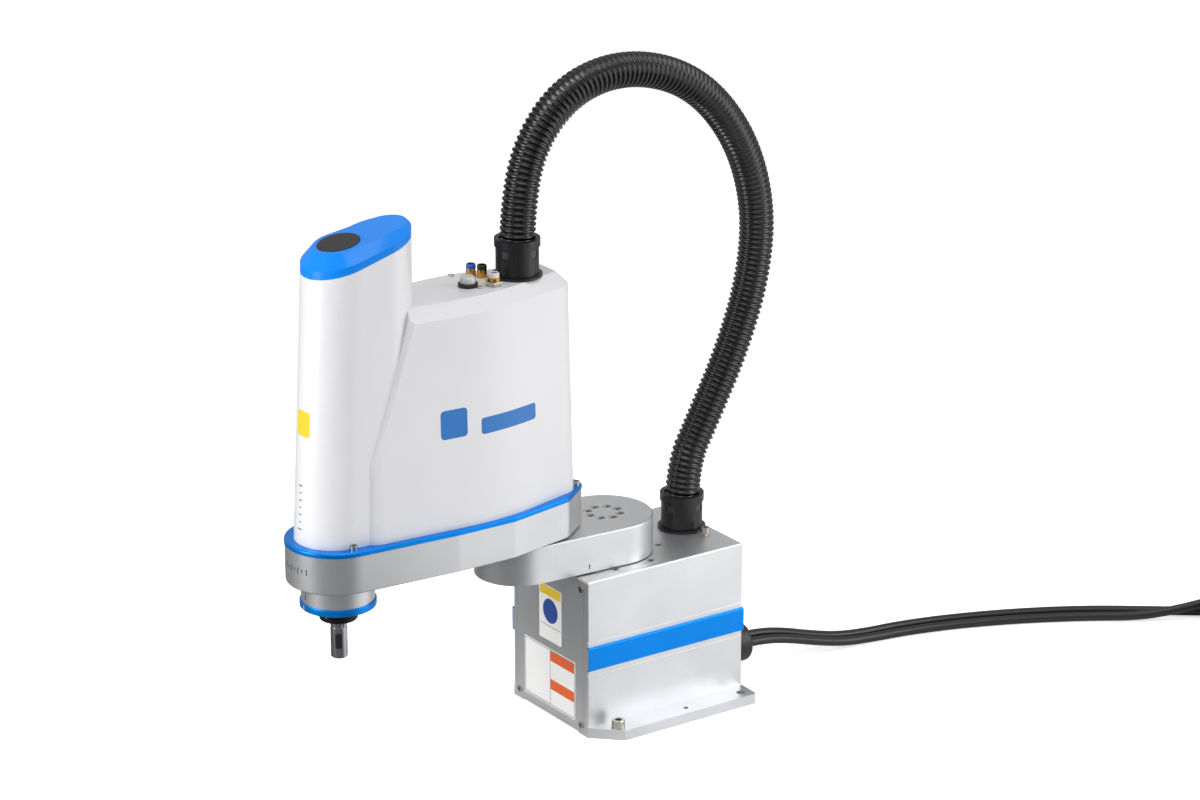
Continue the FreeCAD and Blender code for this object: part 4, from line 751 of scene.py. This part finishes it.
for i, width in enumerate(SCALE_WIDTHS):
    tick(f"column_tick_{i}", "outer_arm", "arm_cover",
         bar(0, SCALE_FOOT + SCALE_STEP * i, width, TICK_LINE))
for i in range(ROW_COUNT):
    tick(f"nose_tick_{i}", "outer_arm", "outer_arm_casting",
         bar(ROW_START + ROW_STEP * i, ROW_HEIGHT, TICK_LINE, ROW_LENGTHS[i % 2]))
tick("neck_tick", "outer_arm", "outer_arm_casting", bar(*NECK_TICK))
tick("neck_ring_tick", "outer_arm", "neck_ring", bar(*RING_TICK), material=print_lime)
tick("inner_arm_tick", "inner_arm", "inner_arm", bar(*ARM_TICK), ARM_TICK_FROM, BACK_X)
tick("shoulder_tick", "base", "shoulder_bearing_ring", bar(*SHOULDER_TICK), SHOULDER_TICK_FROM,
     OUT_FROM_SHOULDER, up=ROUND_SHOULDER)

# %% [markdown]
# Screws, rings and nuts come off a lathe, so each is a short outline spun round an axis. Blender's
# screw modifier does that too, but it can't turn one part of the outline into a hexagon. A loop over
# the outline can: where a ring is a hexagon, its corners are pulled in between the six points. Sharp
# edges are marked by angle afterwards, so that the round walls stay smooth and the rims stay crisp.

# %% Turned pieces
CREASE = math.radians(35)


def turned(name, body, profile, centre, material, sides=48, hexagons=()):
    """A turned piece: pairs of radius and height in millimetres, closed from the last pair to the first.
    Where hexagons holds a pair's number, that ring is one, with its corners at the radius."""
    corners, faces = [], []
    for number, (radius, height) in enumerate(profile):
        for k in range(sides):
            a = 2 * math.pi * k / sides
            reach = radius
            if number in hexagons:
                reach = radius * math.cos(math.pi / 6) / math.cos((a % (math.pi / 3)) - math.pi / 6)
            corners.append((centre[0] + reach * math.cos(a), centre[1] + reach * math.sin(a),
                            centre[2] + height))
    rows = len(profile)
    for i in range(rows):
        j = (i + 1) % rows
        for k in range(sides):
            n = (k + 1) % sides
            faces.append((i * sides + k, i * sides + n, j * sides + n, j * sides + k))
    thing = new_mesh(name, metres(corners), faces, material)
    thing.data.set_sharp_from_angle(angle=CREASE)
    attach(thing, body)


def top_middle(node):
    """The middle of a CAD node's top, in millimetres."""
    low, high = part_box(node)
    return (low.x + high.x) / 2 / MM, (low.y + high.y) / 2 / MM, high.z / MM


print("the base's top is at", round(top_middle("base_housing")[2], 2), "mm")

# %% [markdown]
# One cap screw stands in the front left foot, where such a robot is bolted to its table. It is an
# ordinary screw with a hexagon socket. A plain cylinder could stand for it, but its socket and its
# broken edge are what tells the eye that it is a screw, so the outline has both, and is six-sided from
# the socket's rim down.

# %% Cap screw in the foot
FOOT_SCREW_SEAT = (73.25, 78.9, 10.5)
FOOT_SCREW = [(6.4, 0), (6.5, 0.4), (6.5, 7.3), (5.9, 8.0), (3.9, 8.0), (3.6, 7.8), (3.6, 3.4), (0.1, 3.2),
              (0.1, 0)]
turned("foot_screw", "base", FOOT_SCREW, FOOT_SCREW_SEAT, zinc, hexagons=(4, 5, 6))
print("the screw's head is", 2 * max(radius for radius, height in FOOT_SCREW), "mm wide")

# %% [markdown]
# Three air fittings stand behind the lamp. Each has a release ring in its own colour, which tells the
# hoses apart, and the white one also shows its brass collar and the hexagon that a spanner takes. A
# change of colour near the top of each CAD body could stand for its ring, but it would have no edge to
# catch the light. So turned rings slip over the tops, and are placed by those tops.

# %% Rings of the air fittings
COVER_FLAT = 459.0
RING_BELOW, RING_ABOVE, RING_EDGE = -4.0, 0.3, 0.6
WHITE_COLLAR = [(5.9, 4.4), (6.2, 4.8), (6.2, 7.5), (5.8, 8.0), (4.5, 8.0), (4.5, 4.4)]
WHITE_HEXAGON = [(8.2, 0.05), (8.6, 0.5), (8.6, 3.9), (8.2, 4.4), (4.5, 4.4), (4.5, 0.05)]
ring_blue = finish("ring_blue", "1465cc", 0.35, 700, 0.03, coat=0.3)
ring_white = finish("ring_white", "eeeeee", 0.35, 700, 0.03, tint=0.02, coat=0.3)
for tone, radius, material in (("blue", 4.6, ring_blue), ("black", 4.6, black_nylon),
                               ("white", 5.0, ring_white)):
    turned(tone + "_fitting_ring", "outer_arm",
           [(radius, RING_BELOW), (radius, -0.4), (radius - RING_EDGE, RING_ABOVE), (3.5, RING_ABOVE),
            (3.0, -0.4), (3.0, RING_BELOW)], top_middle(tone + "_air_fitting"), material)
white_x, white_y, white_top = top_middle("white_air_fitting")
turned("white_fitting_collar", "outer_arm", WHITE_COLLAR, (white_x, white_y, COVER_FLAT), brass)
turned("white_fitting_hexagon", "outer_arm", WHITE_HEXAGON, (white_x, white_y, COVER_FLAT), nickel,
       hexagons=(0, 1, 2, 3))
print("the fittings stand", round(white_top - COVER_FLAT, 1), "mm over the cover")

# %% [markdown]
# Inside each gland of the conduit a latch band grips the hose, and it shows through the gland's
# windows. A block behind each window would do for one view, but it is one ring on the real gland. A
# turned band with a fine groove round it shows through all the windows at once and looks right from
# every side.

# %% Latch bands in the glands
latch_grey = finish("latch_grey", "3a3a3d", 0.3, 900, 0.06, tint=0.15, coat=0.3)
LATCH_BAND = [(19.9, 20.2), (19.9, 23.4), (19.5, 23.6), (19.9, 23.8), (19.9, 27.3), (17.6, 27.3),
              (17.6, 20.2)]
base_top = top_middle("base_housing")[2]
for name, body, hose_end, seat in (("base_gland_latch", "base", CONDUIT_LOWER[0], base_top),
                                   ("arm_gland_latch", "outer_arm", CONDUIT_UPPER[-1], COVER_FLAT)):
    turned(name, body, LATCH_BAND, (hose_end[0], hose_end[1], seat), latch_grey)
print("two latch bands")

# %% [markdown]
# The black collar on the shaft is clamped by one small screw, whose brass end is bright against the
# black. Below it, the shaft's plain end has a flat that keeps a tool from turning. Both could be cut
# into the CAD pieces, but they are small and lie on round walls, where a thin plate that follows the
# wall is enough. Neither the screw's hexagon socket nor the flat is cut, so the shade in them is
# painted: the socket is a near-black plate and the flat a dark grey one.

# %% Collar screw and shaft flat
SCREW_R, SOCKET_R = 2.3, 1.2
SCREW_FROM, SCREW_ACROSS = (400, 21.9, 166.9), (-0.324, 0.946, 0)
FLAT = (-3.2, 3.2, 131.5, 146.5, 1.5)
FLAT_FROM, FLAT_ACROSS = (364, 40.6, 0), (-0.823, 0.568, 0)
# Painted shade: a near-black plate in the screw's socket and a dark grey plate on the shaft's flat
painted_socket_shade = finish("painted_socket_shade", "2b2b2d", 0.4, 900, 0.08, metal=0.7)
painted_flat_shade = finish("painted_flat_shade", "5c5c60", 0.3, 900, 0.04, metal=1.0)
skin_mark("collar_screw", "shaft", "stop_collar", disc(0, 0, SCREW_R, 24), SCREW_FROM, SCREW_ACROSS,
          brass, FILM_PROUD, rings=3)
skin_mark("collar_screw_socket_shade", "shaft", "stop_collar", disc(0, 0, SOCKET_R, 6), SCREW_FROM,
          SCREW_ACROSS, painted_socket_shade, PRINT_PROUD, rings=1)
skin_mark("shaft_flat_shade", "shaft", "spline_shaft", rounded_rectangle(*FLAT), FLAT_FROM, FLAT_ACROSS,
          painted_flat_shade, TICK_PROUD, rings=4)
print("a screw with its socket, and one flat")

# %% [markdown]
# The screws of the inner arm and of the shoulder ring are sunk in bored holes. Where a drill breaks a
# blasted surface it leaves a bright edge, and that is what shows of them from afar. A bevel modifier on
# the CAD piece would change its mesh, which this script keeps as it was loaded. A thin turned rim on
# each hole gives the same glint.

# %% Bright rims of the sunk screws
RIM = [(3.6, 0.01), (4.6, 0.01), (4.5, 0.12), (3.65, 0.06)]
RIM_SIDES = 32
SCREWS_ROUND = 8
ARM_SCREWS_R = 15.9
SHOULDER_SCREWS_R = 54.0
shoulder_x, shoulder_y, _ = top_middle("shoulder_hub")


def screw_rim(name, body, carrier, circle_r, turn_to):
    """A rim on a carrier's top, on a circle round the shoulder."""
    place = (shoulder_x + circle_r * math.cos(turn_to), shoulder_y + circle_r * math.sin(turn_to),
             top_middle(carrier)[2])
    turned(name, body, RIM, place, machined, RIM_SIDES)


for i in range(SCREWS_ROUND):
    turn_to = math.radians(360 / SCREWS_ROUND * i)
    screw_rim(f"arm_screw_rim_{i}", "inner_arm", "inner_arm", ARM_SCREWS_R, turn_to)
    screw_rim(f"shoulder_screw_rim_{i}", "base", "base_housing", SHOULDER_SCREWS_R,
              turn_to + math.radians(180 / SCREWS_ROUND))
print("screw rims:", 2 * SCREWS_ROUND, "round the shoulder at", round(shoulder_x, 2), "mm")

# %% [markdown]
# The studio is a white sweep of paper. The robot has to keep its own tones on it, so the paper's light
# must not come from stronger lamps. The floor is ordinary pale paint, which takes the soft shadow, and
# a glow is added to it that only the camera sees. The metal sees another floor: pale behind the robot
# and dark in front of it, as if a photographer had laid a black card there to draw the dark edges of
# the castings.

# %% Floor
FLOOR_HALF = 9.0
FLOOR_GLOW = 0.62
FLOOR_PALE = (0.9, 0.9, 0.9, 1)
# In reflections the floor changes from the first tone to the second between these two places along X
CARD_FROM, CARD_TO = 0.03, 0.25
TONE_BEHIND, TONE_AHEAD = 0.97, 0.12
floor_paint = finish("floor_paint", "f4f4f4", 0.7, 60, 0.01, tint=0.01)
tree = floor_paint.node_tree
paint = tree.nodes["Principled BSDF"]
rays = add_node(tree, "LightPath")
seen_glow = add_node(tree, "Emission", Color=(1, 1, 1, 1), Strength=FLOOR_GLOW)
no_glow = add_node(tree, "Emission", Strength=0.0)
glow = add_node(tree, "MixShader")
tree.links.new(rays.outputs["Is Camera Ray"], glow.inputs["Fac"])
tree.links.new(no_glow.outputs["Emission"], glow.inputs[1])
tree.links.new(seen_glow.outputs["Emission"], glow.inputs[2])
both = add_node(tree, "AddShader")
tree.links.new(paint.outputs["BSDF"], both.inputs[0])
tree.links.new(glow.outputs["Shader"], both.inputs[1])
tree.links.new(both.outputs["Shader"], tree.nodes["Material Output"].inputs["Surface"])
where = add_node(tree, "NewGeometry")
axes = add_node(tree, "SeparateXYZ")
tree.links.new(where.outputs["Position"], axes.inputs["Vector"])
card = add_node(tree, "MapRange", From_Min=CARD_FROM, From_Max=CARD_TO, To_Min=TONE_BEHIND,
                To_Max=TONE_AHEAD)
tree.links.new(axes.outputs["X"], card.inputs["Value"])
floor_tone = add_node(tree, "Mix")
floor_tone.data_type = "RGBA"
floor_tone.inputs["A"].default_value = FLOOR_PALE
tree.links.new(rays.outputs["Is Glossy Ray"], floor_tone.inputs["Factor"])
tree.links.new(card.outputs["Result"], floor_tone.inputs["B"])
tree.links.new(floor_tone.outputs["Result"], paint.inputs["Base Color"])
floor_corners = [(x * FLOOR_HALF, y * FLOOR_HALF, 0) for x, y in ((-1, -1), (1, -1), (1, 1), (-1, 1))]
floor = new_mesh("studio_floor", floor_corners, [(0, 1, 2, 3)], floor_paint)
print("floor of", 2 * FLOOR_HALF, "m")

# %% [markdown]
# A small lamp makes hard shadows and white spots on metal, and a photographer avoids both with large
# cloth boxes in front of the lamps. An area light is such a box. One broad box hangs above, one stands
# at the robot's front to model the castings, one lights its left side, and a weak one fills from near
# the camera. Each is turned to the point that the camera looks at, so moving one needs no new angles.
# The names left and right are those of the picture.

# %% Lights
def soft_light(name, place, size, power):
    """A cloth box at a place in metres, with its width and height in metres and its power in watts."""
    data = bpy.data.lights.new(name, "AREA")
    data.shape = "RECTANGLE"
    data.size, data.size_y = size
    data.energy = power
    thing = bpy.data.objects.new(name, data)
    bpy.context.scene.collection.objects.link(thing)
    thing.location = place
    thing.rotation_euler = (Vector(place) - AIM).to_track_quat("Z", "Y").to_euler()


soft_light("fill_light", (2.0, 2.3, 1.5), (1.3, 1.6), 5)
soft_light("top_light", (0.1, 0.3, 2.5), (1.4, 1.4), 17)
soft_light("left_light", (2.3, -0.3, 0.9), (0.9, 1.8), 35)
soft_light("right_light", (-0.9, 0.95, 0.75), (0.7, 1.3), 10.5)
print("lamps:", len(bpy.data.lights), "with", sum(lamp.energy for lamp in bpy.data.lights), "W in all")

# %% [markdown]
# The walls and the ceiling of the studio light the robot too, and they fill what its metal mirrors.
# Real walls would work, but they would show in other views. The world does the same from all sides: a
# grey that gets paler upwards, a little brighter for rays that come from a mirror-like surface, and
# plain white for the camera, so that the background is as white as the paper. The colours are shown as
# they are, with the Standard view, because the other views bend them to imitate film.

# %% Surround
SKY_LEVELS = ((0.0, 0.3), (0.2, 0.75), (0.55, 0.95), (1.0, 1.0))
SKY_STRENGTH = 0.37
MIRROR_EXTRA = 0.26
world = bpy.data.worlds.new("studio_surround")
bpy.context.scene.world = world
world.use_nodes = True
tree = world.node_tree
tree.nodes.clear()
output = add_node(tree, "OutputWorld")
place = add_node(tree, "TexCoord")
parts = add_node(tree, "SeparateXYZ")
tree.links.new(place.outputs["Generated"], parts.inputs["Vector"])
sky = add_node(tree, "ValToRGB")
for stop, (position, level) in enumerate(SKY_LEVELS):
    element = sky.color_ramp.elements[stop] if stop < 2 else sky.color_ramp.elements.new(position)
    element.position = position
    element.color = (level, level, level, 1)
tree.links.new(parts.outputs["Z"], sky.inputs["Fac"])
rays = add_node(tree, "LightPath")
strength = add_node(tree, "Math")
strength.operation = "MULTIPLY_ADD"
strength.inputs[1].default_value = MIRROR_EXTRA
strength.inputs[2].default_value = SKY_STRENGTH
tree.links.new(rays.outputs["Is Glossy Ray"], strength.inputs[0])
lit = add_node(tree, "Background")
tree.links.new(sky.outputs["Color"], lit.inputs["Color"])
tree.links.new(strength.outputs["Value"], lit.inputs["Strength"])
seen = add_node(tree, "Background", Color=(1, 1, 1, 1), Strength=1.0)
choice = add_node(tree, "MixShader")
tree.links.new(rays.outputs["Is Camera Ray"], choice.inputs["Fac"])
tree.links.new(lit.outputs["Background"], choice.inputs[1])
tree.links.new(seen.outputs["Background"], choice.inputs[2])
tree.links.new(choice.outputs["Shader"], output.inputs["Surface"])
bpy.context.scene.view_settings.view_transform = "Standard"
print("surround of", len(SKY_LEVELS), "tones")
